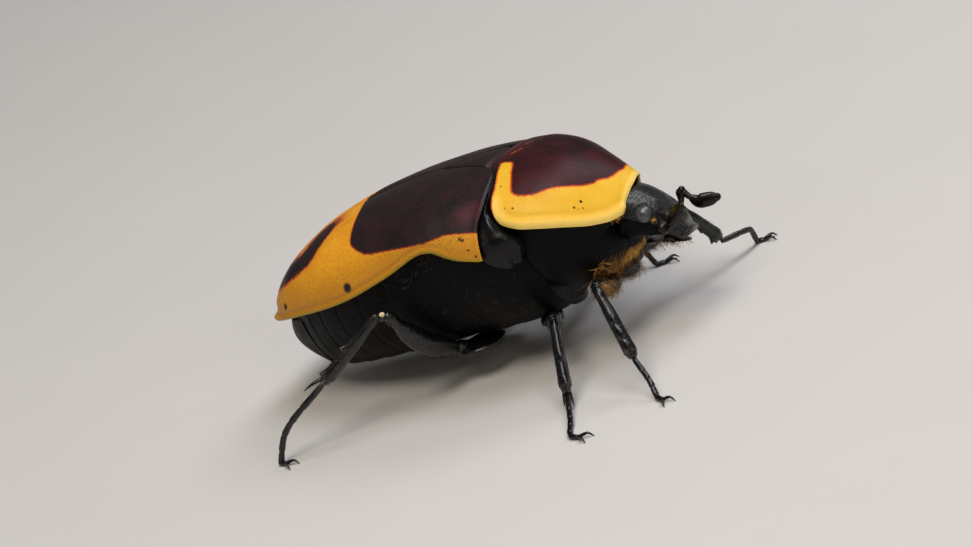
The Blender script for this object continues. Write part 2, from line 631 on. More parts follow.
    # Relief: punctures, and fine wrinkles about 0.07 mm apart that give the satin look. The real
    # ones are a few hundredths of a millimetre apart and too fine to show.
    grain = add(tree, "ShaderNodeTexNoise", {"Vector": place, "Scale": per_mm(0.07), "Detail": 4.0,
                                             "Roughness": 0.7}).outputs["Fac"]
    finish_cuticle(tree, shader, colour, hole, grain, 0.8, pit_depth, grain, rough)
    return finish


def dark_cuticle(name, tones, pit, depth, rough, sheen=0.3, coat=0.0, wrinkle=0.12):
    """Cuticle of two close tones with punctures and a leathery wrinkle.

    pit is the punctures' spacing and radius, depth that of the relief, and wrinkle the wrinkles'
    size, all in mm; rough is the range of roughness, and sheen the specular level.
    """
    finish, tree, shader = new_finish(name, IOR=1.5, Specular_IOR_Level=sheen, Coat_Weight=coat,
                                      Coat_Roughness=0.12, Coat_IOR=1.45)
    place = add(tree, "ShaderNodeTexCoord").outputs["Object"]
    cloud = add(tree, "ShaderNodeTexNoise", {"Vector": place, "Scale": per_mm(0.7), "Detail": 4.0,
                                             "Roughness": 0.6}).outputs["Fac"]
    colour = add(tree, "ShaderNodeValToRGB", {"Fac": cloud},
                 stops=zip((0.35, 0.65), tones)).outputs["Color"]
    hole = pits(tree, place, *pit)
    grain = add(tree, "ShaderNodeTexNoise", {"Vector": place, "Scale": per_mm(wrinkle),
                                             "Detail": 4.0, "Roughness": 0.6}).outputs["Fac"]
    finish_cuticle(tree, shader, colour, hole, grain, 0.55, depth, cloud, rough)
    return finish


def hair_finish(name, root, tip, rough):
    """Hair that is darker at the root and paler at the tip."""
    finish, tree, shader = new_finish(name, IOR=1.55, Roughness=rough)
    along = add(tree, "ShaderNodeAttribute", attribute_name="along").outputs["Fac"]
    colour = add(tree, "ShaderNodeValToRGB", {"Fac": along},
                 stops=((0.05, root), (0.6, tip))).outputs["Color"]
    tree.links.new(colour, shader.inputs["Base Color"])
    return finish


# Wing case: hardened chitin with its pigment under the surface. Small punctures and wrinkles make
# it satin, and those of the yellow parts show as brown dots.
wing_case = marked_cuticle(
    "wing_case_cuticle", yellow=("#D98A12", "#E69A1A", "#EFA822"), olive="#B97E12",
    rim_colour="#A8860F", rim_width=0.1,
    ring=("#E6981E", "#D27A1A", "#A84A14", "#6E2412", "#3C1613", "#2A1214"),
    disc=("#120D0E", "#221013", "#311518", "#551820"), edge=0.12,
    pit=(0.135, 0.042, 0.15, 0.7), pit_depth=0.012, rough=(0.42, 0.56), gloss=0.4, coat=0.03)
# Shield: the same chitin, smoother and almost without punctures. It has a silky gloss, and its
# rolled edge is a paler yellow.
shield_case = marked_cuticle(
    "shield_cuticle", yellow=("#DC9E1C", "#E7B027", "#EEBD35"), olive="#EBB838",
    rim_colour="#F9D873", rim_width=0.27,
    ring=("#ECA524", "#E58C1E", "#C8561A", "#8A280F", "#481513", "#301214"),
    disc=("#140E0E", "#2C1214", "#3C1518", "#4E171B"), edge=0.16,
    pit=(0.3, 0.05, 0.0, 0.22), pit_depth=0.006, rough=(0.38, 0.5), gloss=0.17, coat=0.02)
# Trunk: black chitin, wrinkled and punctured, so that it stays dull.
body_cuticle = dark_cuticle("body_cuticle", ("#040405", "#09090A"), (0.22, 0.07), 0.02,
                            (0.42, 0.6), sheen=0.09)
# Side plates: smooth black chitin, almost polished, with few shallow punctures.
side_plate = dark_cuticle("side_plate_cuticle", ("#040405", "#08080A"), (0.24, 0.05), 0.008,
                          (0.24, 0.34), sheen=0.26, wrinkle=0.2)
# Head: black chitin with close small pits that break its gloss to a grainy grey sheen.
head_cuticle = dark_cuticle("head_cuticle", ("#030304", "#060607"), (0.13, 0.055), 0.05,
                            (0.26, 0.34), sheen=0.55, coat=0.1, wrinkle=0.07)
# Legs: glossy black chitin with sparse pits, which shows long highlights.
leg_cuticle = dark_cuticle("leg_cuticle", ("#040405", "#08080A"), (0.2, 0.055), 0.025,
                           (0.24, 0.36), sheen=0.6, wrinkle=0.1)
# Feelers: smooth black-brown chitin with a soft gloss.
feeler_cuticle = dark_cuticle("feeler_cuticle", ("#060404", "#120907"), (0.2, 0.03), 0.006,
                              (0.22, 0.34), sheen=0.35)
# Eye: clear chitin over dark pigment, a smooth dark grey dome. Its facets, 0.03 mm across, are too
# fine to show, so they are drawn 0.05 mm apart and hardly raised.
eye_dome = dark_cuticle("eye_dome", ("#303037", "#404048"), (0.05, 0.02), 0.001, (0.34, 0.4),
                        sheen=0.9, coat=0.2, wrinkle=0.3)
# Cream patch at the hind knee: close flat scales, matt.
cream_spot = dark_cuticle("cream_scale_spot", ("#D8C294", "#E8D8B4"), (0.12, 0.03), 0.006,
                          (0.5, 0.6))
# Hair: tapered chitin bristles, half glossy. They are brown at the root and golden at the tip.
golden_hair = hair_finish("golden_hair", "#2C1A08", "#A06C20", 0.42)
# The brightest hair, golden from the root on.
bright_hair = hair_finish("bright_golden_hair", "#A06414", "#EFB844", 0.4)
# The hair of the flanks: thin, grey-brown and duller.
grey_hair = hair_finish("grey_brown_hair", "#17130F", "#5E5442", 0.5)
# The legs' bristles: stiff and almost black.
dark_bristle = hair_finish("dark_bristle", "#080605", "#1C1410", 0.42)


# Wing cases

wing_width = smooth(WING_HALF_WIDTH)
wing_ridge = smooth(WING_RIDGE)
wing_edge = smooth(WING_EDGE)
wing_front = smooth(WING_FRONT_EDGE)


def dome(x, y):
    """Height of the wing cases' common surface."""
    r = np.minimum(np.abs(y) / wing_width(x), 1.0)
    low = wing_edge(x)
    return low + (wing_ridge(x) - low) * (1.0 - r ** DOME_ACROSS) ** (1.0 / DOME_POWER)


def scutellum_half(x):
    """Half width of the scutellum's triangle at x."""
    return SCUTELLUM_HALF_WIDTH * (x - SCUTELLUM_TIP) / (SCUTELLUM_FRONT - SCUTELLUM_TIP)


def wing_grid(rows, cols, side):
    """Grid of a wing case, front to tip and suture to edge, and each point's way to the suture."""
    s = np.linspace(0.0, 1.0, rows)
    s = (0.5 * s + 0.5 * np.sin(0.5 * math.pi * s))[:, None]
    q = np.sin(0.5 * math.pi * np.linspace(0.0, 1.0, cols))[None, :]
    x = wing_front(q) + (WING_REAR - wing_front(q)) * s
    w = wing_width(x)
    y0 = np.maximum(SUTURE_HALF_GAP, scutellum_half(x) + SCUTELLUM_GAP)
    y = y0 + (w - y0) * q
    return np.stack([x, side * y, dome(x, y)], axis=-1), y - y0


def across_dome(x, y):
    """Arc length over the dome from the middle line to (x, y)."""
    x, y = np.broadcast_arrays(np.asarray(x, float), np.asarray(y, float))
    share = np.linspace(0.0, 1.0, 90)
    ys = np.abs(y)[..., None] * share
    xs = np.repeat(x[..., None], len(share), axis=-1)
    zs = dome(xs, ys)
    return np.sum(np.hypot(np.diff(ys, axis=-1), np.diff(zs, axis=-1)), axis=-1)


def y_at_height(x, z):
    """Distance from the middle line at which the dome at x has height z."""
    r = 1.0 - ((z - wing_edge(x)) / (wing_ridge(x) - wing_edge(x))) ** DOME_POWER
    return wing_width(x) * max(r, 0.0) ** (1.0 / DOME_ACROSS)


def edge_distance(points, outline):
    """Signed distance to a closed outline in the plane, positive inside."""
    flat = points.reshape(-1, 2)
    best = np.full(len(flat), 1e9)
    inside = np.zeros(len(flat), bool)
    for a, b in zip(outline, outline[1:] + outline[:1]):
        a, b = np.array(a, float), np.array(b, float)
        d = b - a
        t = np.clip(((flat - a) @ d) / max(d @ d, 1e-12), 0.0, 1.0)
        best = np.minimum(best, np.linalg.norm(flat - (a + t[:, None] * d), axis=1))
        crosses = (a[1] > flat[:, 1]) != (b[1] > flat[:, 1])
        with np.errstate(divide="ignore", invalid="ignore"):
            at = a[0] + (flat[:, 1] - a[1]) * d[0] / d[1]
        inside ^= crosses & (flat[:, 0] < at)
    return np.where(inside, best, -best).reshape(points.shape[:-1])


# Markings of a wing case: the front disc's lower edge as heights against x, then its rear edge
# and the rear patch as (x, distance from the middle), all in mm.
DISC_LOW_EDGE = ((1.3, 1.45), (0.0, 1.47), (-0.43, 1.56), (-1.07, 1.68), (-1.79, 1.78),
                 (-2.4, 1.73), (-3.0, 1.66), (-3.8, 1.68), (-4.6, 1.71), (-5.57, 1.73),
                 (-6.43, 1.73), (-6.9, 1.79), (-7.39, 1.98), (-7.78, 2.17), (-7.96, 2.34),
                 (-8.03, 2.61))
DISC_REAR_EDGE = ((-8.06, 3.48), (-8.16, 2.35), (-8.35, 1.4), (-8.62, 0.61), (-8.75, 0.0))
REAR_PATCH = ((-10.3, 1.5), (-9.9, 2.2), (-10.05, 2.75), (-10.35, 3.12), (-10.6, 3.42),
              (-10.95, 3.8), (-11.35, 3.92), (-12.2, 3.76), (-13.1, 3.5), (-13.85, 3.1),
              (-14.5, 2.4), (-14.75, 1.4), (-14.3, 1.2), (-13.5, 1.9), (-12.75, 2.6),
              (-12.3, 2.72), (-11.9, 2.6), (-11.6, 2.3), (-11.4, 2.05), (-11.15, 1.7),
              (-10.8, 1.45))
# Black spots as (x, y, z, radius), with y for the left side.
SPOTS = ((-8.35, 5.77, 0.42, 0.32), (-13.5, 3.96, -0.17, 0.22), (-0.95, 5.88, 1.4, 0.12),
         (-0.8, 5.92, 1.3, 0.12), (-0.58, 6.13, 0.79, 0.1), (-0.27, 6.15, 0.39, 0.1),
         (-0.42, 6.1, 1.05, 0.07))


def wing_marks(grid):
    """Distance into the maroon of the disc or of the rear patch, in mm."""
    x, y = grid[..., 0], np.abs(grid[..., 1])
    plane = np.stack([x, across_dome(x, y)], axis=-1)
    low = [(px, float(across_dome(px, y_at_height(px, pz)))) for px, pz in DISC_LOW_EDGE]
    rear = [(px, float(across_dome(px, py))) for px, py in DISC_REAR_EDGE]
    patch = [(px, float(across_dome(px, py))) for px, py in REAR_PATCH]
    disc = edge_distance(plane, [(2.5, -2.0), (2.5, low[0][1])] + low + rear + [(-8.75, -2.0)])
    back = edge_distance(plane, patch)
    # The patch's edge is soft; towards the ridge it fades out through red-brown.
    ridge_side = ease(plane[..., 1], 2.9, 2.2)
    fade = 0.45 - 0.33 * ridge_side * ease(x, -13.6, -12.9)
    back = np.where(back < 0.0, back * fade, back * 0.6)
    return np.maximum(disc, back)


def spot_values(grid, spots, side):
    """How black the grid is in its spots."""
    total = np.zeros(grid.shape[:-1])
    for sx, sy, sz, radius in spots:
        d = np.linalg.norm(grid - np.array((sx, side * sy, sz)), axis=-1)
        total = np.maximum(total, hump(d, radius))
    return total


def rim_distance(grid, rim):
    """Distance of each grid point from a line of points."""
    flat = grid.reshape(-1, 3)
    best = np.full(len(flat), 1e9)
    for point in rim:
        best = np.minimum(best, np.linalg.norm(flat - point, axis=1))
    return best.reshape(grid.shape[:-1])


# Relief of a wing case, as lines for beads(): the rolled edge and the groove above it, the flared
# lip of the tip, the ridge beside the suture, the suture's own bevel and the front edge.
WING_ROLLED_EDGE = ((0.05, 0.1, 0.1), (-0.05, 0.3, 0.08), (0.025, 0.46, 0.07))
WING_TIP_LIP = ((0.13, 0.12, 0.17), (-0.1, 0.55, 0.25))
WING_SEAM_RIDGE = ((0.02, 0.12, 0.12), (-0.03, 0.4, 0.14))
WING_SEAM_BEVEL = ((-0.04, 0.0, 0.05),)
WING_FRONT_BEVEL = ((0.035, 0.12, 0.1), (-0.08, 0.0, 0.06))


def build_wing(side):
    name = "elytron_left" if side > 0 else "elytron_right"
    grid, from_suture = wing_grid(170, 76, side)
    x, y = grid[..., 0], np.abs(grid[..., 1])
    rim = rim_distance(grid, np.concatenate([grid[:, -1], grid[-1]]))
    lift = ease(x, -1.0, -4.5) * beads(rim, WING_ROLLED_EDGE)
    lift += ease(x, -13.6, -15.6) * beads(rim, WING_TIP_LIP)
    # The shoulder's bump and the one before the tip.
    lift += 0.1 * swell(x, y, (-1.3, 4.9), (1.3, 0.7))
    lift += 0.07 * swell(x, y, (-13.1, 3.1), (0.9, 0.7))
    lift += ease(x, -4.2, -6.5) * beads(from_suture, WING_SEAM_RIDGE)
    lift += beads(rim_distance(grid, grid[0]), WING_FRONT_BEVEL)
    lift += beads(from_suture, WING_SEAM_BEVEL)
    shaped = relief(grid, lift)
    inner = scaled(shaped, WING_CENTRE, WING_WALL)
    inner[..., 1] = side * np.maximum(np.abs(inner[..., 1]), SUTURE_HALF_GAP)
    z = grid[..., 2]
    # Black pocks: a cluster on the shoulder and a row of them that runs back under it.
    cluster = np.exp(-((x + 1.25) / 0.62) ** 2 - ((z - 1.55 - 0.15 * (x + 1.25)) / 0.2) ** 2)
    row = hump(z - 1.3 + 0.17 * (x + 1.3), 0.06) * ease(x, -3.4, -2.4) * ease(x, -0.6, -1.2)
    # The red blush: a patch above the shoulder, and a trace of it at the tip.
    blush = swell(x, z, (-0.55, 2.25), (1.15, 0.55))
    values = dict(mark=wing_marks(grid), rim=rim, spot=spot_values(grid, SPOTS, side),
                  pock=2.2 * cluster + 1.3 * row,
                  blush=0.55 * blush + 0.16 * ease(x, -10.0, -12.0))
    make_piece(name + "_case", [plate_shell(shaped, inner, values)], [wing_case], [name])


def build_scutellum():
    """Flat triangle that lies level with the wing cases and dips at its front and its sides."""
    rows, cols = 34, 40
    t = np.linspace(0.0, 1.0, rows)[:, None]
    r = np.linspace(-1.0, 1.0, cols)[None, :]
    x = SCUTELLUM_FRONT + SCUTELLUM_TUCK + (
        SCUTELLUM_TIP + SCUTELLUM_TIP_GAP - SCUTELLUM_FRONT - SCUTELLUM_TUCK) * t
    half = np.maximum(scutellum_half(x), 0.03) * (1.0 - 0.1 * ease(x, -0.9, -0.3))
    y = half * r
    z = dome(x, y) - 0.04 * np.abs(r) ** 6 + 0.03 * (1 - r * r) - 0.45 * ease(x, -0.75, -0.25)
    outer = np.stack([x + 0 * y, y, z], axis=-1)
    inner = outer - np.array((0.0, 0.0, SCUTELLUM_THICKNESS))
    # All of it is maroon: every point counts as deep inside the marking, far from a side edge.
    values = dict(mark=np.full(z.shape, 3.0), rim=np.full(z.shape, 9.0))
    make_piece("scutellum_plate", [plate_shell(outer, inner, values)], [wing_case],
               ["scutellum"])


# Shield

crest_x = smooth([(c[0], c[1]) for c in SHIELD_CREST])
crest_z = smooth([(c[0], c[2]) for c in SHIELD_CREST])
margin_x = smooth([(c[0], c[1]) for c in SHIELD_MARGIN])
margin_y = smooth([(c[0], c[2]) for c in SHIELD_MARGIN])
margin_z = smooth([(c[0], c[3]) for c in SHIELD_MARGIN])
keel_x = smooth([(c[0], c[1]) for c in PROTHORAX_KEEL])
keel_z = smooth([(c[0], c[2]) for c in PROTHORAX_KEEL])
hind_edge = smooth(SHIELD_HIND_EDGE)


def shield(u, r):
    """Point of the shield: u from the hind to the front edge, r from -1 to 1 across."""
    u, r = np.broadcast_arrays(np.asarray(u, float), np.asarray(r, float))
    a = np.abs(r)
    bend = hind_edge(a) * (1.0 - u) ** 2 + (a ** 2.4) * (1.0 - (1.0 - u) ** 2)
    x = crest_x(u) + (margin_x(u) - crest_x(u)) * bend
    y = margin_y(u) * r
    pitched = u ** 3
    rise = np.maximum(1.0 - a ** (2.15 - 0.5 * pitched), 0.0) ** (0.56 + 0.3 * pitched)
    z = margin_z(u) + (crest_z(u) - margin_z(u)) * rise
    # The front edge bulges in the middle, and the left side lies further back and lower.
    x = x + (FRONT_FORWARD + FRONT_BULGE * hump(r + 0.05, 0.6)
             - LEFT_FRONT_BACK * ease(r, 0.3, 0.85)) * u ** 5
    z = z - LEFT_SIDE_DROP * ease(r, 0.3, 0.95) * ease(u, -0.1, 0.3)
    turn = math.radians(SHIELD_TURN) * u * u
    along = x - SHIELD_PIVOT
    return np.stack([SHIELD_PIVOT + along * np.cos(turn) - y * np.sin(turn),
                     along * np.sin(turn) + y * np.cos(turn), z], axis=-1)


# The shield's marking as (u, share of the half width): the black border behind the yellow band,
# and the maroon disc's edge from the band's upper end down round the band to the front. The left
# side has its own front part, and behind LEFT_HOOK_FRONT its band ends at LEFT_HOOK_START.
SHIELD_BORDER = ((-0.2, 1.02), (0.15, 1.02), (0.12, 0.993), (0.113, 0.967), (0.127, 0.893),
                 (0.143, 0.793), (0.143, 0.693), (0.12, 0.56), (0.12, 0.507))
SHIELD_DISC = ((0.117, 0.377), (0.163, 0.362), (0.225, 0.385), (0.25, 0.437), (0.27, 0.563),
               (0.293, 0.68), (0.31, 0.787), (0.337, 0.81), (0.367, 0.817), (0.407, 0.817),
               (0.453, 0.81), (0.493, 0.79), (0.533, 0.76), (0.567, 0.733), (0.607, 0.713),
               (0.67, 0.687), (0.743, 0.65), (0.783, 0.61), (0.803, 0.583), (0.823, 0.517),
               (0.85, 0.47), (0.87, 0.44), (0.893, 0.35), (0.913, 0.187), (0.927, 0.073))
SHIELD_DISC_LEFT = ((0.923, 0.093), (0.92, 0.287), (0.905, 0.42), (0.88, 0.5), (0.85, 0.56),
                    (0.8, 0.61))
LEFT_HOOK_FRONT = 0.26
LEFT_HOOK_START = 0.5
# Black dots as (u, share, radius), and the ends of the pale flecks near the hind edge.
SHIELD_DOTS = ((0.74, -0.837, 0.1), (0.703, -0.897, 0.085), (0.75, -0.893, 0.06),
               (0.725, -0.905, 0.055), (0.323, -0.92, 0.07), (0.263, -0.925, 0.05),
               (0.215, -0.74, 0.07), (0.24, -0.56, 0.05), (0.2, 0.9, 0.06), (0.71, 0.86, 0.08))
PALE_FLECKS = (((0.155, -0.18), (0.21, -0.09)), ((0.197, 0.055), (0.232, 0.12)))
# Clouds of the disc that stay dark, without its red blush, as (u, share, radius).
DARK_CLOUDS = ((0.55, 0.1, 1.5), (0.25, -0.45, 1.0), (0.25, 0.45, 1.0))
# Relief of the shield, as lines for beads(): the soft roll of the side margin with the groove
# above it, the side edge itself, and the front and hind edges.
SHIELD_SIDE_ROLL = ((0.1, 0.3, 0.22), (-0.03, 0.64, 0.16))
SHIELD_SIDE_BEVEL = ((-0.05, 0.0, 0.1),)
SHIELD_END_BEVEL = ((0.02, 0.14, 0.1), (-0.07, 0.0, 0.08))
# A small dent in the yellow of the right side, with a faint raised ring round it.
SHIELD_DENT = (0.468, -0.83)
SHIELD_DENT_RELIEF = ((-0.025, 0.0, 0.16), (0.015, 0.28, 0.1))


def build_shield():
    rows, cols = 130, 170
    u = np.linspace(0.0, 1.0, rows)[:, None]
    r = np.sin(0.5 * math.pi * np.linspace(-1.0, 1.0, cols))[None, :]
    grid = shield(u, r)
    right = SHIELD_BORDER + SHIELD_DISC
    # The left side's own front part stands in for the last eight points of the right side.
    left = [(a, b if a > LEFT_HOOK_FRONT else max(b, LEFT_HOOK_START)) for a, b in right[:-8]]
    outline = [(a, -b) for a, b in right] + list(SHIELD_DISC_LEFT)
    outline += [(a, b) for a, b in reversed(left)]
    plane = np.stack(np.broadcast_arrays(u, r), axis=-1)
    inside = edge_distance(plane, outline) > 0.0
    line = []
    for (a0, b0), (a1, b1) in zip(outline, outline[1:]):
        for t in np.linspace(0.0, 1.0, 16, endpoint=False):
            line.append((a0 + (a1 - a0) * t, b0 + (b1 - b0) * t))
    line = np.array([p for p in line if p[0] >= 0.0 and abs(p[1]) <= 1.0])
    far = rim_distance(grid, shield(line[:, 0], line[:, 1]))
    mark = np.where(inside, far, -far)
    for start, end in PALE_FLECKS:
        share = np.linspace(0.0, 1.0, 7)
        fleck = rim_distance(grid, shield(start[0] + (end[0] - start[0]) * share,
                                          start[1] + (end[1] - start[1]) * share))
        mark = mark + (-0.08 - mark) * ease(fleck, 0.15, 0.06) * (mark > 0.0)
    rim = rim_distance(grid, np.concatenate([grid[:, 0], grid[:, -1]]))
    pale_rim = np.minimum(rim, rim_distance(grid, grid[-1]) + 0.1)
    ends = rim_distance(grid, np.concatenate([grid[0], grid[-1]]))
    lift = ease(u, 0.08, 0.3) * beads(rim, SHIELD_SIDE_ROLL)
    lift += beads(rim, SHIELD_SIDE_BEVEL)
    lift += beads(ends, SHIELD_END_BEVEL)
    lift += beads(np.linalg.norm(grid - shield(*SHIELD_DENT), axis=-1), SHIELD_DENT_RELIEF)
    shaped = relief(grid, lift)
    inner = scaled(shaped, SHIELD_CENTRE, SHIELD_WALL)
    dots = np.zeros(far.shape)
    for du, dr, radius in SHIELD_DOTS:
        dots = np.maximum(dots, hump(np.linalg.norm(grid - shield(du, dr), axis=-1), radius))
    border = SHIELD_BORDER + ((SHIELD_BORDER[0][0], SHIELD_BORDER[-1][1]),)
    for side in (-1, 1):
        band = [(a, side * b) for a, b in border]
        dots = np.maximum(dots, ease(edge_distance(plane, band) * 6.0, -0.1, 0.03))
    cloud = np.zeros(far.shape)
    for cu, cr, radius in DARK_CLOUDS:
        d = np.linalg.norm(grid - shield(cu, cr), axis=-1)
        cloud = np.maximum(cloud, hump(d, radius))
    values = dict(mark=mark, rim=pale_rim, spot=dots, blush=0.5 * (1.0 - cloud))
    make_piece("pronotum_shield", [plate_shell(shaped, inner, values)], [shield_case],
               ["pronotum"])


def prothorax_rings(rows, half):
    """Rings of the prothorax: its roof under the shield, and its sides down to the keel."""
    u = 0.02 + 0.94 * np.linspace(0.0, 1.0, rows)[:, None]
    r = np.sin(0.5 * math.pi * np.linspace(-1.0, 1.0, 2 * half + 1))[None, :]
    roof = scaled(shield(u, r), SHIELD_CENTRE, PROTHORAX_UNDER_SHIELD)
    left = roof[:, -1]
    a = math.pi * np.arange(1, 2 * half)[None, :] / (2 * half)
    drop = np.abs(np.sin(a)) ** 0.8
    y = left[:, 1:2] * np.cos(a)
    x = left[:, 0:1] + (keel_x(u) - left[:, 0:1]) * drop
    z = left[:, 2:3] + (keel_z(u) - left[:, 2:3]) * drop
    return np.concatenate([roof, np.stack([x, y, z], axis=-1)], axis=1)


# Trunk under the wing cases

belly = smooth(BELLY_KEEL)


def trunk_ring(x, half, lean=0.0, foot=0.0, inset=1.0):
    """Closed ring of the trunk at station x: the roof under the wing cases, then the belly.

    lean brings its sides forward, foot takes the keel down, and inset draws its sides in.
    """
    source = WING_CENTRE[0] + (x - WING_CENTRE[0]) / BODY_UNDER_WING[0]
    source = min(max(source, WING_REAR), WING_FRONT)
    r = np.sin(0.5 * math.pi * np.linspace(-1.0, 1.0, 2 * half + 1))
    y = wing_width(source) * r
    roof = scaled(np.stack([np.full_like(y, source), y, dome(source, y)], axis=-1),
                  WING_CENTRE, BODY_UNDER_WING)
    roof = np.stack([x + lean * r * r, roof[:, 1] * inset, roof[:, 2]], axis=-1)
    side = roof[-1]
    low = belly(x) - foot
    a = math.pi * np.arange(1, 2 * half) / (2 * half)
    c, s = np.cos(a), np.abs(np.sin(a))
    under = np.stack([side[0] + (x - side[0]) * s, side[1] * np.sign(c) * np.abs(c) ** 0.95,
                      side[2] + (low - side[2]) * s ** 0.9], axis=-1)
    return np.concatenate([roof, under])


def belly_height(x, y):
    """Height of the trunk's underside at (x, y)."""
    half = 12
    ring = trunk_ring(x, half)[2 * half + 1:]
    order = np.argsort(ring[:, 1])
    return float(np.interp(y, ring[order, 1], ring[order, 2]))


def build_trunk():
    """Prothorax, thorax and belly, each a closed body of its own."""
    pro = prothorax_rings(44, TRUNK_HALF_SIDES)
    make_piece("prothorax_body", [ring_shell(pro)], [body_cuticle], ["prothorax"])
    rings = []
    for x in np.linspace(THORAX_FRONT, THORAX_REAR, 44):
        # Towards the front its sides lean forward and draw in; a groove crosses it at x = -2.1.
        ahead = max(0.0, min(1.0, (x - THORAX_REAR) / (-0.2 - THORAX_REAR)))
        groove = 0.1 * hump(x + 2.1, 0.1)
        rings.append(trunk_ring(
            x, TRUNK_HALF_SIDES, lean=ahead ** 1.5, foot=-groove,
            inset=(1.0 - 0.07 * ahead) * (1.0 - 0.16 * ease(x, -0.2, THORAX_FRONT))))
    thorax = np.array(rings)
    make_piece("thorax_body", [ring_shell(thorax)], [body_cuticle], ["thorax"])
    rings, per = [], 12
    total = BELLY_PLATES * per
    for i in range(total + 1):
        s = i / total
        # The plates are shorter towards the rear, and a narrow seam parts them.
        x = THORAX_REAR - TRUNK_GAP + (ABDOMEN_REAR - THORAX_REAR + TRUNK_GAP) * (
            0.35 * s + 0.65 * math.sin(0.5 * math.pi * s))
        step = (i % per) / per
        ring = trunk_ring(x, TRUNK_HALF_SIDES, foot=BELLY_PLATE_STEP * step)
        notch = BELLY_SEAM_WIDTH if i % per == 0 else 1.0
        rings.append(scaled(ring, (x, 0.0, -1.5), (1.0, notch, notch)))
    # The rear end rounds off inside the pygidium.
    tail = rings[-1]
    for share, back in ((0.93, 0.25), (0.8, 0.5), (0.6, 0.72), (0.35, 0.85)):
        rings.append(scaled(tail, (tail[0][0], 0.0, -1.6), (1.0, share, share))
                     - np.array((back, 0.0, 0.0)))
    abdomen = np.array(rings)
    make_piece("abdomen_body", [ring_shell(abdomen)], [body_cuticle], ["abdomen"])
    return pro, thorax, abdomen


def build_pygidium():
    """Convex end plate of the abdomen, with a thin raised edge; its sides close on the belly."""
    rows, cols = 44, 56
    t = np.linspace(0.0, 1.0, rows)[:, None]
    r = np.sin(0.5 * math.pi * np.linspace(-1.0, 1.0, cols))[None, :]
    half = PYGIDIUM_HALF_WIDTH * (1.0 - 0.5 * t ** 1.8)
    bulge = (2.0 + 0.5 * np.sin(math.pi * t)) * (1.0 - 0.62 * t ** 2.2)
    x = PYGIDIUM_FRONT - bulge * (1.0 - np.abs(r) ** 2.3)
    outer = np.stack([x, half * r, PYGIDIUM_TOP - PYGIDIUM_HEIGHT * t + 0.1 * r * r], axis=-1)
    # The inner side is nearly flat and lies a little ahead of it, inside the abdomen.
    inner = np.stack([-13.3 + 0.0 * x, half * r * 0.9, -1.65 - 2.9 * t + 0.1 * r * r], axis=-1)
    edge = rim_distance(outer, np.concatenate([outer[:, 0], outer[:, -1], outer[-1]]))
    shaped = relief(outer, beads(edge, ((0.05, 0.14, 0.12),)))
    make_piece("pygidium_plate", [plate_shell(shaped, inner)], [body_cuticle], ["pygidium"])


# Side plate in front of the wing case: its hind line lies under the wing case's front edge, and
# its crest follows the shield's hind corner; points from top to bottom.
PLATE_HIND = ((0.5, 4.1, 2.72), (0.44, 4.35, 2.58), (0.34, 4.65, 2.36), (0.2, 5.0, 2.08),
              (0.05, 5.3, 1.78), (-0.05, 5.52, 1.45), (-0.1, 5.7, 1.05), (-0.15, 5.85, 0.6),
              (-0.12, 5.85, 0.0), (0.25, 5.6, -0.55), (0.75, 5.25, -0.9))
PLATE_CREST = ((0.72, 4.3, 2.9), (0.6, 4.58, 2.66), (0.48, 4.85, 2.42), (0.47, 5.1, 2.15),
               (0.6, 5.3, 1.88), (0.77, 5.44, 1.55), (0.95, 5.5, 1.21), (1.2, 5.5, 0.91),
               (1.45, 5.4, 0.6), (1.5, 5.3, 0.1), (1.1, 5.1, -0.75))


def build_mesepimeron(side):
    """Side plate: it swells out between its two lines and rolls in ahead of its crest."""
    name = "mesepimeron_left" if side > 0 else "mesepimeron_right"
    rows, cols = 70, 44
    share = np.linspace(0.0, len(PLATE_HIND) - 1.0, rows)
    hind, crest = (np.stack([smooth([(i, p[c]) for i, p in enumerate(line)])(share)
                             for c in range(3)], axis=-1) for line in (PLATE_HIND, PLATE_CREST))
    wide = np.linalg.norm(crest - hind, axis=-1, keepdims=True)
    outward = unit(0.5 * (hind + crest) * np.array((0.0, 1.0, 0.6)))
    stations = (hind, hind + (crest - hind) * 0.45 + outward * wide * 0.1,
                hind + (crest - hind) * 0.86 + outward * wide * 0.07, crest,
                crest + np.array((0.1, -0.16, -0.04)), crest + np.array((0.2, -0.8, -0.15)))
    places = (0.0, 0.4, 0.7, 0.82, 0.9, 1.0)
    q = np.linspace(0.0, 1.0, cols)
    grid = np.empty((rows, cols, 3))
    for i in range(rows):
        for c in range(3):
            grid[i, :, c] = smooth([(a, s[i, c]) for a, s in zip(places, stations)])(q)
    inner = grid * np.array((0.98, 0.9, 0.97)) - np.array((0.0, 0.25, 0.05))
    for shape in (grid, inner):
        shape[..., 1] *= side
    make_piece(name + "_plate", [plate_shell(grid, inner)], [side_plate], [name])


# Head

def turned(points):
    """Roll points of the straight head and turn them about the neck."""
    p = np.asarray(points, float)
    a, b = math.radians(HEAD_TURN), math.radians(HEAD_ROLL)
    x, up = p[..., 0] - HEAD_PIVOT[0], p[..., 2] - HEAD_PIVOT[1]
    y = p[..., 1] * math.cos(b) + up * math.sin(b)
    z = HEAD_PIVOT[1] + up * math.cos(b) - p[..., 1] * math.sin(b)
    return np.stack([NECK[0] + x * math.cos(a) - y * math.sin(a),
                     NECK[1] + x * math.sin(a) + y * math.cos(a), z], axis=-1)


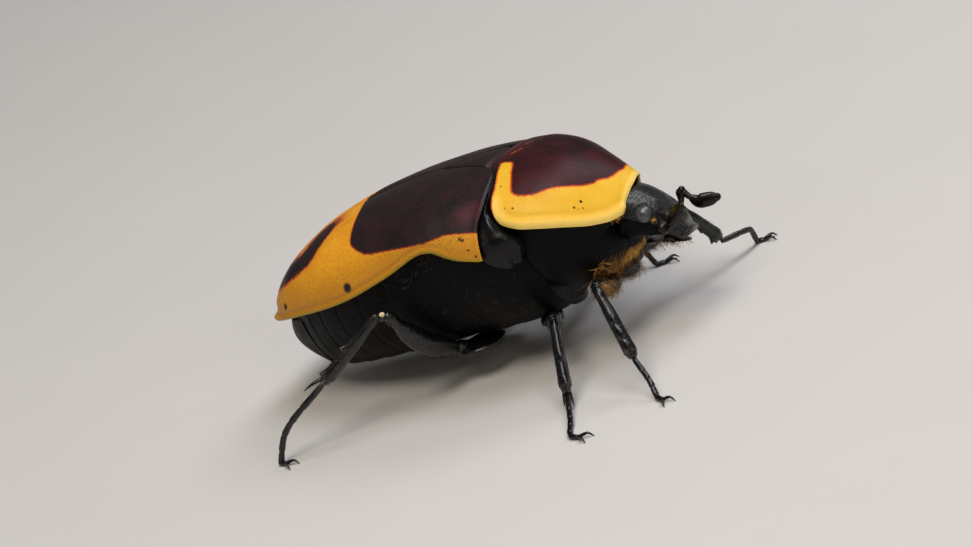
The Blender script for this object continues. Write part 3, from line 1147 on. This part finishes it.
def head_ring(station, count):
    """Ring of the straight head, with each point's share of the half depth and half width."""
    x, z, half, depth, lean = station
    a = math.radians(lean)
    up = np.array((math.sin(a), 0.0, math.cos(a)))
    centre = np.array((x, 0.0, z)) - up * depth * 0.5
    t = 2.0 * math.pi * np.arange(count) / count
    c, s = np.cos(t), np.sin(t)
    y = half * np.sign(c) * np.abs(c) ** 0.72
    v = 0.5 * depth * np.sign(s) * np.abs(s) ** 0.8
    return centre + np.outer(v, up) + np.outer(y, (0.0, 1.0, 0.0)), v / (0.5 * depth), y / half


# Relief of the face, as lines for beads(). By share of the half width: the raised side margin with
# the groove beside it, and the two hollows of the brow. By number of the head's station: the
# raised front edge, and the dip behind it.
FACE_SIDE = ((0.09, 0.9, 0.07), (-0.05, 0.72, 0.12))
BROW_HOLLOWS = ((-0.07, 0.42, 0.2),)
FACE_FRONT_EDGE = ((0.07, 6.55, 0.28),)
FACE_FRONT_DIP = ((-0.04, 5.9, 0.4),)
# A groove round the eye, and the pit in front of it where the feeler starts.
EYE_GROOVE = ((-0.03, 0.42, 0.06),)
FEELER_PIT_RELIEF = ((-0.42, 0.0, 0.33),)


def build_head():
    """Head capsule with its relief, and a blade over each feeler's pit."""
    count, total = 96, 84
    table = np.array(HEAD_STATIONS, float)
    columns = [smooth(list(zip(range(len(table)), table[:, c]))) for c in range(5)]
    rings, tops, sides = [], [], []
    for i in range(total):
        at = (len(table) - 1) * i / (total - 1)
        ring, top, share = head_ring([float(f(at)) for f in columns], count)
        rings.append(ring)
        tops.append(top)
        sides.append(share)
    rings, tops, sides = np.array(rings), np.array(tops), np.array(sides)
    at = np.linspace(0.0, len(table) - 1.0, total)[:, None]
    across = np.abs(sides)
    lift = ease(at, 3.0, 3.8) * beads(across, FACE_SIDE) * (tops > 0.2)
    lift += beads(at, FACE_FRONT_EDGE) * (tops > -0.2)
    lift += beads(at, FACE_FRONT_DIP) * (tops > 0.2) * (across < 0.85)
    lift += beads(across, BROW_HOLLOWS) * hump(at - 2.9, 0.8) * (tops > 0.2)
    for side in (-1, 1):
        mirror = np.array((1.0, side, 1.0))
        lift += beads(np.linalg.norm(rings - EYE_CENTRE * mirror, axis=-1), EYE_GROOVE)
        lift += beads(np.linalg.norm(rings - FEELER_PIT * mirror, axis=-1), FEELER_PIT_RELIEF)
    # The cheeks are dull like the trunk; only the face and brow have the grey sheen.
    dull = (tops < 0.0) & (at < 4.9)
    capsule = ring_shell(turned(relief(rings, lift, wrap=True)))
    capsule["finish"] = [int(dull.reshape(-1)[min(f[0], dull.size - 1)]) for f in capsule["faces"]]
    shells = [capsule]
    for side in (-1, 1):
        path = [(6.88, side * 1.66, -1.5), (7.02, side * 1.78, -1.2), (7.22, side * 1.74, -1.08),
                (7.45, side * 1.56, -1.32)]
        blade = limb_rings(turned(path), ((0.0, 0.05), (0.3, 0.09), (0.7, 0.08), (1.0, 0.05)), 16,
                           22, flat=0.6, out=(0.2, 0.0, 1.0))
        shells.append(ring_shell(blade))
    make_piece("head_capsule", shells, [head_cuticle, body_cuticle], ["head"])


def build_eye(side):
    name = "eye_left" if side > 0 else "eye_right"
    centre = (EYE_CENTRE[0], side * EYE_CENTRE[1], EYE_CENTRE[2])
    rings = ball_rings(centre, EYE_RADII, 48, 30)
    make_piece(name + "_dome", [ring_shell(turned(rings))], [eye_dome], [name])


def build_antenna(side):
    """Feeler: a club-shaped scape, four beads, and a club of three leaves."""
    name = "antenna_left" if side > 0 else "antenna_right"
    points = np.array(FEELER_LEFT if side > 0 else FEELER_RIGHT)
    scape = limb_rings(points[:3], ((0.0, 0.14), (0.45, 0.2), (0.8, 0.26), (1.0, 0.2)), 20, 16)
    shells = [ring_shell(scape)]
    stalk = points[3] - points[2]
    reach, axis = np.linalg.norm(stalk) * 0.19, unit(stalk)
    for share in (0.12, 0.4, 0.68, 0.93):
        centre = points[2] + stalk * share
        bead = limb_rings([centre - axis * reach, centre, centre + axis * reach],
                          ((0.0, 0.12), (0.6, 0.19 - 0.02 * share), (1.0, 0.13)), 16, 6)
        shells.append(ring_shell(bead))
    club = points[5] - points[3]
    spread_dir = unit(np.cross(club, (0.3, 0.2, 0.9)))
    for leaf in (-1.0, 0.0, 1.0):
        shift = spread_dir * leaf * 0.12
        leaf_path = [points[3] + shift * 0.4, points[4] + shift, points[5] + shift * 0.6]
        shells.append(ring_shell(limb_rings(
            leaf_path, ((0.0, 0.1), (0.2, 0.25), (0.5, 0.36), (0.8, 0.34), (1.0, 0.2)), 24, 22,
            flat=0.34, out=np.cross(spread_dir, club))))
    make_piece(name + "_leaves", shells, [feeler_cuticle], [name])


def flattened(rings, top, share):
    """Rings with what stands above a height pressed down to a small share of it."""
    z = rings[..., 2]
    rings[..., 2] = np.where(z > top, top + share * (z - top), z)
    return rings


def build_mouthparts():
    """Mouth block under the head, with its top pressed flat against it, and two palps."""
    block = ball_rings(MOUTH_CENTRE, MOUTH_RADII, 44, 26)
    # The underside of the head slopes down towards the front.
    head_floor = -2.2 - 0.42 * (block[..., 0] - 6.3) - 0.3
    block = turned(flattened(block, head_floor, 0.03))
    shells = [ring_shell(block)]
    for side in (-1, 1):
        path = [(6.95, side * 0.6, -2.65), (7.15, side * 0.85, -2.75), (7.3, side * 0.85, -2.88)]
        shells.append(ring_shell(limb_rings(
            turned(path), ((0.0, 0.14), (0.3, 0.17), (0.48, 0.11), (0.55, 0.16), (1.0, 0.12)), 16,
            18)))
    make_piece("mouthparts_body", shells, [head_cuticle], ["mouthparts"])
    return block


# Legs

def joint_offset(dir_a, r_a, dir_b, r_b):
    """Distance to keep from a joint so that two round ends stay a gap apart."""
    need = r_a + r_b + JOINT_GAP
    low, high = 0.0, 3.0
    for _ in range(40):
        mid = 0.5 * (low + high)
        if np.linalg.norm((r_a + mid) * dir_a - (r_b + mid) * dir_b) < need:
            low = mid
        else:
            high = mid
    return high


def coxa_roof(pair, x, y):
    """Height of the body's underside above a coxa."""
    if pair != "fore":
        return belly_height(x, y)
    u = np.linspace(0.02, 0.98, 25)
    order = np.argsort(keel_x(u))
    return float(np.interp(x, keel_x(u)[order], keel_z(u)[order]))


def build_leg(name, leg):
    """Coxa, thigh, shin and tarsus of a leg; returns the rings on which its hair grows."""
    pair = name.split("_")[0]
    size = LEG_SIZES[pair]
    side = 1 if name.endswith("left") else -1
    hip, knee, ankle = (np.array(leg[k], float) for k in ("hip", "knee", "ankle"))
    heel = above_floor(*leg["heel"])
    toe = above_floor(*leg["toe"], TOE_HEIGHT)
    femur_dir, tibia_dir, foot_dir = unit(knee - hip), unit(ankle - knee), unit(heel - ankle)
    # Across the shin: towards its toothed edge, and towards the side on which the foot folds in.
    outward = unit(femur_dir - np.dot(femur_dir, tibia_dir) * tibia_dir) * leg.get("edge", 1.0)
    inward = unit(np.dot(foot_dir, tibia_dir) * tibia_dir - foot_dir)

    # Coxa: an ellipsoid let into the body, pressed flat 0.12 mm under its skin, and the short
    # trochanter that leaves it.
    radii = size["coxa"]
    centre = hip - np.array((0.0, side * 0.75 * radii[1], 0.1))
    rings = ball_rings(centre, radii, 36, 22)
    roof = np.array([coxa_roof(pair, p[0], p[1]) for p in rings.reshape(-1, 3)])
    rings = flattened(rings, roof.reshape(rings.shape[:-1]) + 0.12, 0.02)
    leave = unit(femur_dir * np.array((1.0, 1.0, size["rise"])))
    out_of_coxa = sum((leave[i] / (radii[i] + 0.02)) ** 2 for i in range(3)) ** -0.5
    root = centre + leave * (out_of_coxa - 0.15)
    trochanter = limb_rings([root, root + leave * 0.3, root + leave * 0.62],
                            ((0.0, 0.34), (0.5, 0.4), (1.0, 0.32)), 24, 8)
    make_piece("coxa_" + name + "_joint", [ring_shell(rings), ring_shell(trochanter)],
               [leg_cuticle], ["coxa_" + name])

    # Thigh: flat, bowed and swollen, with a waist and a knob at the knee.
    start = centre + leave * (out_of_coxa + 0.45)
    knee_back = joint_offset(-femur_dir, KNEE_RADIUS, tibia_dir, SHIN_TOP_RADIUS)
    end = knee - femur_dir * (KNEE_RADIUS + knee_back - 0.1)
    belly_side = np.cross(femur_dir, np.cross((0.0, 0.0, 1.0), femur_dir))
    middle = 0.5 * (start + end) + np.array((0.0, side * size["bow"], -size["bow"]))
    thigh = limb_rings([start, middle, end],
                       ((0.0, 0.34), (0.12, size["femur"] * 0.75), (0.35, size["femur"]),
                        (0.7, size["femur"] * 0.85), (0.9, KNEE_RADIUS * 0.88),
                        (0.955, KNEE_RADIUS * 1.02), (1.0, KNEE_RADIUS * 0.84)),
                       32, 36, flat=size["femur_flat"] / size["femur"] * 1.25, out=belly_side)
    thigh_shells = [ring_shell(thigh)]
    if pair == "hind":
        # The cream patch on the outer side of the hind knee.
        spot_at = end + outward * (KNEE_RADIUS * 0.72) + (0.0, side * 0.22, 0.1)
        thigh_shells.append(ring_shell(ball_rings(spot_at, (0.16, 0.12, 0.13), 18, 10), finish=1))
    make_piece("femur_" + name + "_shell", thigh_shells, [leg_cuticle, cream_spot],
               ["femur_" + name])

    # Shin: four-edged and toothed, with its hinge in the knee and spurs at its end.
    shin_end_r = size["tibia"] * 0.9
    shin_start = knee + tibia_dir * (SHIN_TOP_RADIUS + knee_back - 0.26)
    ankle_back = joint_offset(-tibia_dir, shin_end_r, foot_dir, ANKLE_RADIUS)
    shin_end = ankle - tibia_dir * (shin_end_r + ankle_back)
    shin = limb_rings([shin_start, 0.5 * (shin_start + shin_end), shin_end],
                      ((0.0, SHIN_TOP_RADIUS * 0.85), (0.06, SHIN_TOP_RADIUS * 1.04),
                       (0.14, SHIN_TOP_RADIUS * 0.94), (0.4, size["tibia"]),
                       (0.8, size["tibia"] * 1.06), (0.96, size["tibia"] * 1.12),
                       (1.0, shin_end_r)), 32, 44, flat=size["flat"], out=outward,
                      teeth=leg.get("teeth", size["teeth"]), ridge=0.05)
    hinge = ball_rings(0.5 * (end + shin_start) + outward * 0.03, (0.24, 0.24, 0.24), 20, 12)
    shells = [ring_shell(shin), ring_shell(hinge)]
    cross = np.cross(tibia_dir, inward)
    # The fore shin has one spur, the others two, of which the second is shorter.
    for turn, share in ((1.0, 1.0), (-1.0, 0.75))[:1 if pair == "fore" else 2]:
        spur_root = shin_end + inward * 0.15 + cross * turn * 0.12
        reach = leg.get("spur", size["spur"]) * share
        tip = shin_end + tibia_dir * reach + inward * 0.5 * min(reach, 1.0) + cross * turn * 0.26
        tip = tip + FLOOR_UP * max(0.0, SPUR_CLEARANCE - height(tip))
        bend = 0.5 * (spur_root + tip) + inward * 0.07
        shells.append(ring_shell(limb_rings([spur_root, bend, tip],
                                            ((0.0, 0.1), (0.4, 0.09), (1.0, 0.025)), 12, 10)))
    make_piece("tibia_" + name + "_shell", shells, [leg_cuticle], ["tibia_" + name])

    # Tarsus: five joints, each wider at its end, and two claws spread on the floor.
    first = ankle + foot_dir * (ANKLE_RADIUS + ankle_back)
    thick = size["tarsus"]
    reach = leg["claw"][0]
    heading = unit(leg["claw"][1] * STANCE_X + leg["claw"][2] * STANCE_Y)
    foot = [first - foot_dir * 0.52, heel, toe - heading * 0.35, toe]
    shells = []
    for a, b in zip(TARSUS_STOPS, TARSUS_STOPS[1:]):
        end_width = 0.74 if b == 1.0 else 0.8
        widths = ((0.0, thick * 0.64), (0.12, thick * 0.72), (0.6, thick * 0.76),
                  (0.9, thick * end_width), (1.0, thick * 0.68))
        shells.append(ring_shell(limb_rings(foot, widths, 20, 16, span=(a, b - TARSUS_GAP))))
    swing = np.cross(FLOOR_UP, heading)
    for turn in (-1.0, 1.0):
        bend = toe + heading * reach * 0.55 + swing * turn * reach * 0.26 + FLOOR_UP * 0.13
        tip = toe + heading * reach * 0.85 + swing * turn * reach * 0.4 - FLOOR_UP * 0.09
        shells.append(ring_shell(limb_rings(
            [toe, bend, tip], ((0.0, 0.1), (0.35, 0.085), (0.75, 0.055), (1.0, 0.018)), 12, 14)))
    make_piece("tarsus_" + name + "_joints", shells, [leg_cuticle], ["tarsus_" + name],
               floor=True)
    return dict(coxa=rings, femur=thigh, tibia=shin)


# Bristles and hair, grown from root points by Geometry Nodes

# What each root tells its bristle: where it points, where it bends to, its length and its place.
ROOT_VALUES = (("aim", "FLOAT_VECTOR"), ("sweep", "FLOAT_VECTOR"), ("reach", "FLOAT"),
               ("root_place", "FLOAT_VECTOR"))


def hair_tree(name):
    """One bristle, bent and tapered, is set on each root point, turned and scaled to it."""
    tree = bpy.data.node_groups.new(name, "GeometryNodeTree")
    sockets = {}
    tree.interface.new_socket("Roots", in_out="INPUT", socket_type="NodeSocketGeometry")
    for title, kind in (("Thickness", "NodeSocketFloat"), ("Bend", "NodeSocketFloat"),
                        ("Finish", "NodeSocketMaterial")):
        sockets[title] = tree.interface.new_socket(title, in_out="INPUT", socket_type=kind)
    tree.interface.new_socket("Hair", in_out="OUTPUT", socket_type="NodeSocketGeometry")
    given = add(tree, "NodeGroupInput").outputs
    # The bristle: 1 long, bent to +X at its tip, and triangular in section.
    tip = add(tree, "ShaderNodeCombineXYZ", {"X": given["Bend"], "Z": 0.92})
    line = add(tree, "GeometryNodeCurveQuadraticBezier",
               {"Resolution": 4, "Start": (0.0, 0.0, 0.0), "Middle": (0.0, 0.0, 0.55),
                "End": tip.outputs[0]})
    along = add(tree, "GeometryNodeSplineParameter").outputs["Factor"]
    taper = add(tree, "ShaderNodeMath", {0: 1.04, 1: along}, operation="SUBTRACT").outputs[0]
    taper = add(tree, "ShaderNodeMath", {0: taper, 1: 0.6}, operation="POWER").outputs[0]
    radius = add(tree, "ShaderNodeMath", {0: taper, 1: given["Thickness"]},
                 operation="MULTIPLY").outputs[0]
    marked = add(tree, "GeometryNodeStoreNamedAttribute",
                 {"Geometry": line.outputs[0], "Name": "along", "Value": along},
                 data_type="FLOAT", domain="POINT")
    ring = add(tree, "GeometryNodeCurvePrimitiveCircle", {"Resolution": 3, "Radius": 1.0})
    bristle = add(tree, "GeometryNodeCurveToMesh",
                  {"Curve": marked.outputs[0], "Profile Curve": ring.outputs["Curve"],
                   "Scale": radius, "Fill Caps": True})
    aim, sweep, reach, root_place, up_hair = (
        add(tree, "GeometryNodeInputNamedAttribute", {"Name": title},
            data_type=kind).outputs["Attribute"]
        for title, kind in (*ROOT_VALUES, ("along", "FLOAT")))
    stand = add(tree, "FunctionNodeAlignRotationToVector", {"Vector": aim}, axis="Z")
    lean = add(tree, "FunctionNodeAlignRotationToVector",
               {"Rotation": stand.outputs[0], "Vector": sweep}, axis="X", pivot_axis="Z")
    planted = add(tree, "GeometryNodeInstanceOnPoints",
                  {"Points": given["Roots"], "Instance": bristle.outputs[0],
                   "Rotation": lean.outputs[0], "Scale": reach})
    whole = add(tree, "GeometryNodeRealizeInstances", {"Geometry": planted.outputs[0]})
    # Each hair's patch in the bake map lies at its root's place on the skin's unwrap.
    rise = add(tree, "ShaderNodeMath", {0: up_hair, 1: HAIR_PATCH},
               operation="MULTIPLY").outputs[0]
    patch = add(tree, "ShaderNodeCombineXYZ", {"X": rise, "Y": rise})
    corner = add(tree, "ShaderNodeVectorMath", {0: root_place, 1: patch.outputs[0]},
                 operation="ADD").outputs[0]
    baked = add(tree, "GeometryNodeStoreNamedAttribute",
                {"Geometry": whole.outputs[0], "Name": "OFBake", "Value": corner},
                data_type="FLOAT2", domain="CORNER")
    finished = add(tree, "GeometryNodeSetMaterial", {"Geometry": baked.outputs[0],
                                                     "Material": given["Finish"]})
    add(tree, "NodeGroupOutput", {"Hair": finished.outputs[0]})
    return tree, {k: s.identifier for k, s in sockets.items()}


HAIR_TREE, HAIR_INPUTS = hair_tree("bristle_growth")


def coat_weight(grid, low, high):
    """1 inside a box of the body's frame, mirrored to both sides, and 0 from 0.4 mm outside it."""
    place = np.stack([grid[..., 0], np.abs(grid[..., 1]), grid[..., 2]], axis=-1)
    out = np.maximum(np.array(low) - place, place - np.array(high)).max(axis=-1)
    return ease(out, 0.4, 0.0)


def roots_on(grid, weight, count, seed, lie, stand, reach):
    """Random hair roots on closed rings, more of them where weight is high.

    The hair lies along the direction lie, which is in the body's frame, and stand is how far it
    stands up from the skin, from 0 to 1. reach is the range of its length in mm.
    """
    rng = np.random.default_rng(seed)
    after = np.roll(grid, -1, axis=1)
    a, b, c, d = grid[:-1], after[:-1], grid[1:], after[1:]
    normal = grid_normals(grid, True)[:-1]
    area = np.linalg.norm(np.cross(b - a, c - a), axis=-1)
    share = (area * np.broadcast_to(weight, grid.shape[:-1])[:-1]).reshape(-1)
    pick = rng.choice(len(share), size=count, p=share / share.sum())
    s, t = rng.random(count)[:, None], rng.random(count)[:, None]
    corners = [k.reshape(-1, 3)[pick] for k in (a, b, c, d)]
    roots = ((corners[0] * (1 - s) + corners[1] * s) * (1 - t)
             + (corners[2] * (1 - s) + corners[3] * s) * t)
    up = normal.reshape(-1, 3)[pick]
    lie = unit(np.broadcast_to(np.asarray(lie, float), up.shape) + 0.35 * rng.normal(size=up.shape))
    flat = unit(lie - np.sum(lie * up, axis=1, keepdims=True) * up)
    aim = unit(up * stand + flat * (1.0 - stand) + 0.12 * rng.normal(size=up.shape))
    long = rng.uniform(reach[0], reach[1], count)
    rows, across = grid.shape[:2]
    place = np.stack([(pick % across + s[:, 0]) / across, (pick // across + t[:, 0]) / rows,
                      np.zeros(count)], axis=-1)
    return dict(roots=roots - up * ROOT_DEPTH, aim=aim, sweep=flat, reach=long, place=place)


def grow(name, fields, thickness, bend, finish):
    """Hair piece from fields of roots, without the hair that would reach the floor.

    thickness, which is a radius, and bend are shares of a hair's length.
    """
    roots = to_stance(np.concatenate([f["roots"] for f in fields]))
    aim = np.concatenate([f["aim"] for f in fields]) @ TO_STANCE.T
    sweep = np.concatenate([f["sweep"] for f in fields]) @ TO_STANCE.T
    reach = np.concatenate([f["reach"] for f in fields]) * MM
    place = np.concatenate([f["place"] for f in fields])
    keep = roots[:, 2] + aim[:, 2] * reach > HAIR_FLOOR_GAP * MM
    roots, aim, sweep, reach, place = (k[keep] for k in (roots, aim, sweep, reach, place))
    mesh = bpy.data.meshes.new(name + "_roots")
    mesh.from_pydata(roots.tolist(), [], [])
    for (title, kind), value in zip(ROOT_VALUES, (aim, sweep, reach, place)):
        layer = mesh.attributes.new(title, kind, "POINT")
        layer.data.foreach_set("vector" if kind == "FLOAT_VECTOR" else "value",
                               value.astype(np.float32).reshape(-1))
    source = bpy.data.objects.new(name + "_roots", mesh)
    bpy.context.scene.collection.objects.link(source)
    growth = source.modifiers.new("growth", "NODES")
    growth.node_group = HAIR_TREE
    growth[HAIR_INPUTS["Thickness"]] = thickness
    growth[HAIR_INPUTS["Bend"]] = bend
    growth[HAIR_INPUTS["Finish"]] = finish
    bpy.context.view_layer.update()
    graph = bpy.context.evaluated_depsgraph_get()
    grown = bpy.data.meshes.new_from_object(source.evaluated_get(graph))
    source.modifiers.clear()
    bpy.data.objects.remove(source, do_unlink=True)
    for title, _ in ROOT_VALUES:
        if title in grown.attributes:
            grown.attributes.remove(grown.attributes[title])
    grown.name = name
    piece = bpy.data.objects.new(name, grown)
    bpy.context.scene.collection.objects.link(piece)
    grown.shade_smooth()
    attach(piece, "root")


# The beetle

build_shield()
pro, thorax, abdomen = build_trunk()
build_scutellum()
for turn in (1, -1):
    build_wing(turn)
    build_mesepimeron(turn)
    build_eye(turn)
    build_antenna(turn)
build_pygidium()
build_head()
mouth = build_mouthparts()
legs = {leg_name: build_leg(leg_name, leg_data) for leg_name, leg_data in LEGS.items()}

# Golden coat: darker on the throat, the fore coxae and the thighs, and bright on the brush under
# the neck, the fringe behind the cheeks and the ends of the fore thighs.
dark_gold = [roots_on(pro, coat_weight(pro, (2.6, 0.0, -4.0), (5.0, 1.9, -2.5)), 620, 11,
                      (-0.2, 0.0, -0.95), 0.5, (0.45, 0.85))]
# The bright brush under the neck, combed back; a streak in front of the fore coxa; and the short
# fringe behind the cheeks.
bright_gold = [roots_on(pro, coat_weight(pro, (4.8, 0.0, -3.1), (5.6, 0.75, -2.2)), 230, 12,
                        (-0.65, 0.0, -0.75), 0.42, (0.45, 0.75)),
               roots_on(pro, coat_weight(pro, (3.85, 2.3, -2.95), (3.95, 2.4, -2.6)), 34, 14,
                        (0.25, 0.0, -0.95), 0.3, (0.6, 1.0)),
               roots_on(pro, coat_weight(pro, (5.4, 1.7, -1.3), (5.9, 2.3, -0.5)), 80, 13,
                        (0.8, 0.25, -0.55), 0.55, (0.35, 0.55))]
for number, leg_name in enumerate(("fore_right", "fore_left")):
    coxa, thigh = legs[leg_name]["coxa"], legs[leg_name]["femur"]
    dark_gold.append(roots_on(coxa, 1.0, 330, 20 + number, (-0.1, 0.0, -0.95), 0.45, (0.35, 0.65)))
    facing = grid_normals(thigh, True)
    ahead = ease(facing[..., 0], -0.1, 0.7) * ease(facing[..., 2], 0.7, -0.1)
    outer = np.linspace(0.0, 1.0, thigh.shape[0])[:, None]
    dark_gold.append(roots_on(thigh, 0.05 + ahead, 130, 30 + number, (0.5, 0.0, -0.7), 0.5,
                              (0.3, 0.6)))
    bright_gold.append(roots_on(thigh, ahead * ease(outer, 0.45, 0.7), 60, 34 + number,
                                (0.7, 0.0, -0.5), 0.5, (0.25, 0.42)))
grow("throat_coat", dark_gold, 0.02, 0.3, golden_hair)
# The small yellow tuft at the front of each eye, and a few bristles under it.
for side in (-1, 1):
    patch = ball_rings(turned(np.array((6.84, side * 1.85, -1.5))), (0.07, 0.05, 0.03), 12, 8)
    bright_gold.append(roots_on(patch, 1.0, 34, 43 + side, (1.0, 0.0, 0.0), 0.06, (0.24, 0.32)))
    patch = ball_rings(turned(np.array((7.2, side * 1.66, -1.95))), (0.12, 0.08, 0.3), 12, 8)
    bright_gold.append(roots_on(patch, 1.0, 16, 46 + side, (0.6, 0.0, -0.8), 0.5, (0.2, 0.35)))
grow("bright_fringe_coat", bright_gold, 0.024, 0.25, bright_hair)
# Brushes of the mouth: a hanging tuft in the middle and a shorter one in front.
brush = [roots_on(mouth, coat_weight(mouth, (6.9, 0.3, -3.2), (7.3, 1.2, -2.75)), 80, 41,
                  (0.1, 0.0, -1.0), 0.5, (0.5, 0.85)),
         roots_on(mouth, coat_weight(mouth, (7.6, 0.3, -3.2), (8.0, 1.2, -2.5)), 40, 42,
                  (0.5, 0.0, -0.85), 0.5, (0.2, 0.4))]
grow("mouth_brush_coat", brush, 0.022, 0.2, golden_hair)
# Grey-brown hair along the flanks: sparse on the thorax's sides, denser under the notch in the
# wing case's edge.
grey = [roots_on(thorax, coat_weight(thorax, (-4.9, 4.6, 0.1), (-3.2, 6.0, 1.3)), 90, 51,
                 (-0.8, 0.0, -0.5), 0.35, (0.25, 0.5)),
        roots_on(thorax, coat_weight(thorax, (-4.0, 2.5, -4.5), (0.5, 5.5, -1.0)), 120, 53,
                 (-0.8, 0.0, -0.5), 0.3, (0.2, 0.45)),
        roots_on(abdomen, coat_weight(abdomen, (-7.0, 4.4, -0.4), (-4.8, 6.0, 0.9)), 120, 52,
                 (-0.9, 0.0, -0.3), 0.35, (0.25, 0.5))]
grow("flank_coat", grey, 0.024, 0.25, grey_hair)
# Bristles of the legs: all round the shins, and mostly on the lower side of the thighs.
leg_fields = []
for number, (leg_name, made) in enumerate(legs.items()):
    path = LEGS[leg_name]
    down = unit(np.array(path["ankle"]) - np.array(path["knee"]))
    out = unit(np.array(path["knee"]) - np.array(path["hip"]))
    leg_fields.append(roots_on(made["tibia"][6:-5], 1.0, 70, 60 + number, down, 0.35,
                               (0.15, 0.35)))
    under = ease(-grid_normals(made["femur"], True)[..., 2], 0.1, 0.9)
    leg_fields.append(roots_on(made["femur"], 0.05 + under, 90, 70 + number, out, 0.45,
                               (0.25, 0.5)))
grow("leg_bristle_coat", leg_fields, 0.03, 0.2, dark_bristle)


# Floor, light and camera

# The lights look at this point, and the floor reaches this far to each side, both in metres.
BEETLE_MIDDLE = (0.0, 0.0, 0.006)
FLOOR_REACH = 3.0


def stage_finish():
    """Matt pale studio paper, with a very faint mottle."""
    finish, tree, shader = new_finish("studio_paper", Roughness=0.75)
    place = add(tree, "ShaderNodeTexCoord").outputs["Object"]
    mottle = add(tree, "ShaderNodeTexNoise", {"Vector": place, "Scale": per_mm(9.0),
                                              "Detail": 3.0}).outputs["Fac"]
    colour = add(tree, "ShaderNodeValToRGB", {"Fac": mottle},
                 stops=((0.3, "#CFCCC7"), (0.7, "#D1CEC9"))).outputs["Color"]
    tree.links.new(colour, shader.inputs["Base Color"])
    return finish


floor_mesh = bpy.data.meshes.new("floor")
floor_mesh.from_pydata([(x * FLOOR_REACH, y * FLOOR_REACH, 0.0)
                        for x, y in ((-1, -1), (1, -1), (1, 1), (-1, 1))], [], [(0, 1, 2, 3)])
floor_mesh.materials.append(stage_finish())
floor_sheet = bpy.data.objects.new("floor", floor_mesh)
bpy.context.scene.collection.objects.link(floor_sheet)


def soft_light(name, place, size, power, colour):
    """Round area light that looks at the beetle's middle; place and size are in metres."""
    lamp = bpy.data.lights.new(name, "AREA")
    lamp.shape = "DISK"
    lamp.size = size
    lamp.energy = power
    lamp.color = linear(colour)[:3]
    held = bpy.data.objects.new(name, lamp)
    bpy.context.scene.collection.objects.link(held)
    back = unit(np.array(place, float) - np.array(BEETLE_MIDDLE, float))
    right = unit(np.cross((0.0, 0.0, 1.0), back))
    up = np.cross(back, right)
    held.matrix_world = Matrix([[right[i], up[i], back[i], place[i]] for i in range(3)]
                               + [[0.0, 0.0, 0.0, 1.0]])


soft_light("key", (0.06, -0.16, 0.28), 0.14, 0.5, "#FFF6EA")
soft_light("top", (0.1, 0.0, 0.3), 0.16, 0.42, "#F4F6FF")
soft_light("rim", (0.12, 0.17, 0.24), 0.14, 0.26, "#F4F6FF")
soft_light("front", (0.24, -0.2, 0.16), 0.14, 0.12, "#FFF6EA")
soft_light("fill", (-0.2, -0.26, 0.12), 0.16, 0.06, "#FFF1E2")

world = bpy.data.worlds.new("studio")
bpy.context.scene.world = world
world.use_nodes = True
world.node_tree.nodes["Background"].inputs["Color"].default_value = linear("#E6E4E0")
world.node_tree.nodes["Background"].inputs["Strength"].default_value = 0.12

lens = bpy.data.cameras.new("camera")
lens.lens = CAMERA_LENS
lens.sensor_width = 36.0
lens.shift_x, lens.shift_y = CAMERA_SHIFT
lens.clip_start, lens.clip_end = 0.005, 10.0
camera = bpy.data.objects.new("camera", lens)
bpy.context.scene.collection.objects.link(camera)
axes = [unit(np.array(v) @ TO_STANCE.T) for v in (CAMERA_RIGHT, CAMERA_UP, CAMERA_BACK)]
eye_point = to_stance(np.array(CAMERA_BACK) * CAMERA_DISTANCE)
camera.matrix_world = Matrix([[*(float(a[i]) for a in axes), float(eye_point[i])]
                              for i in range(3)] + [[0.0, 0.0, 0.0, 1.0]])
bpy.context.scene.camera = camera
bpy.context.scene.view_settings.view_transform = "Standard"
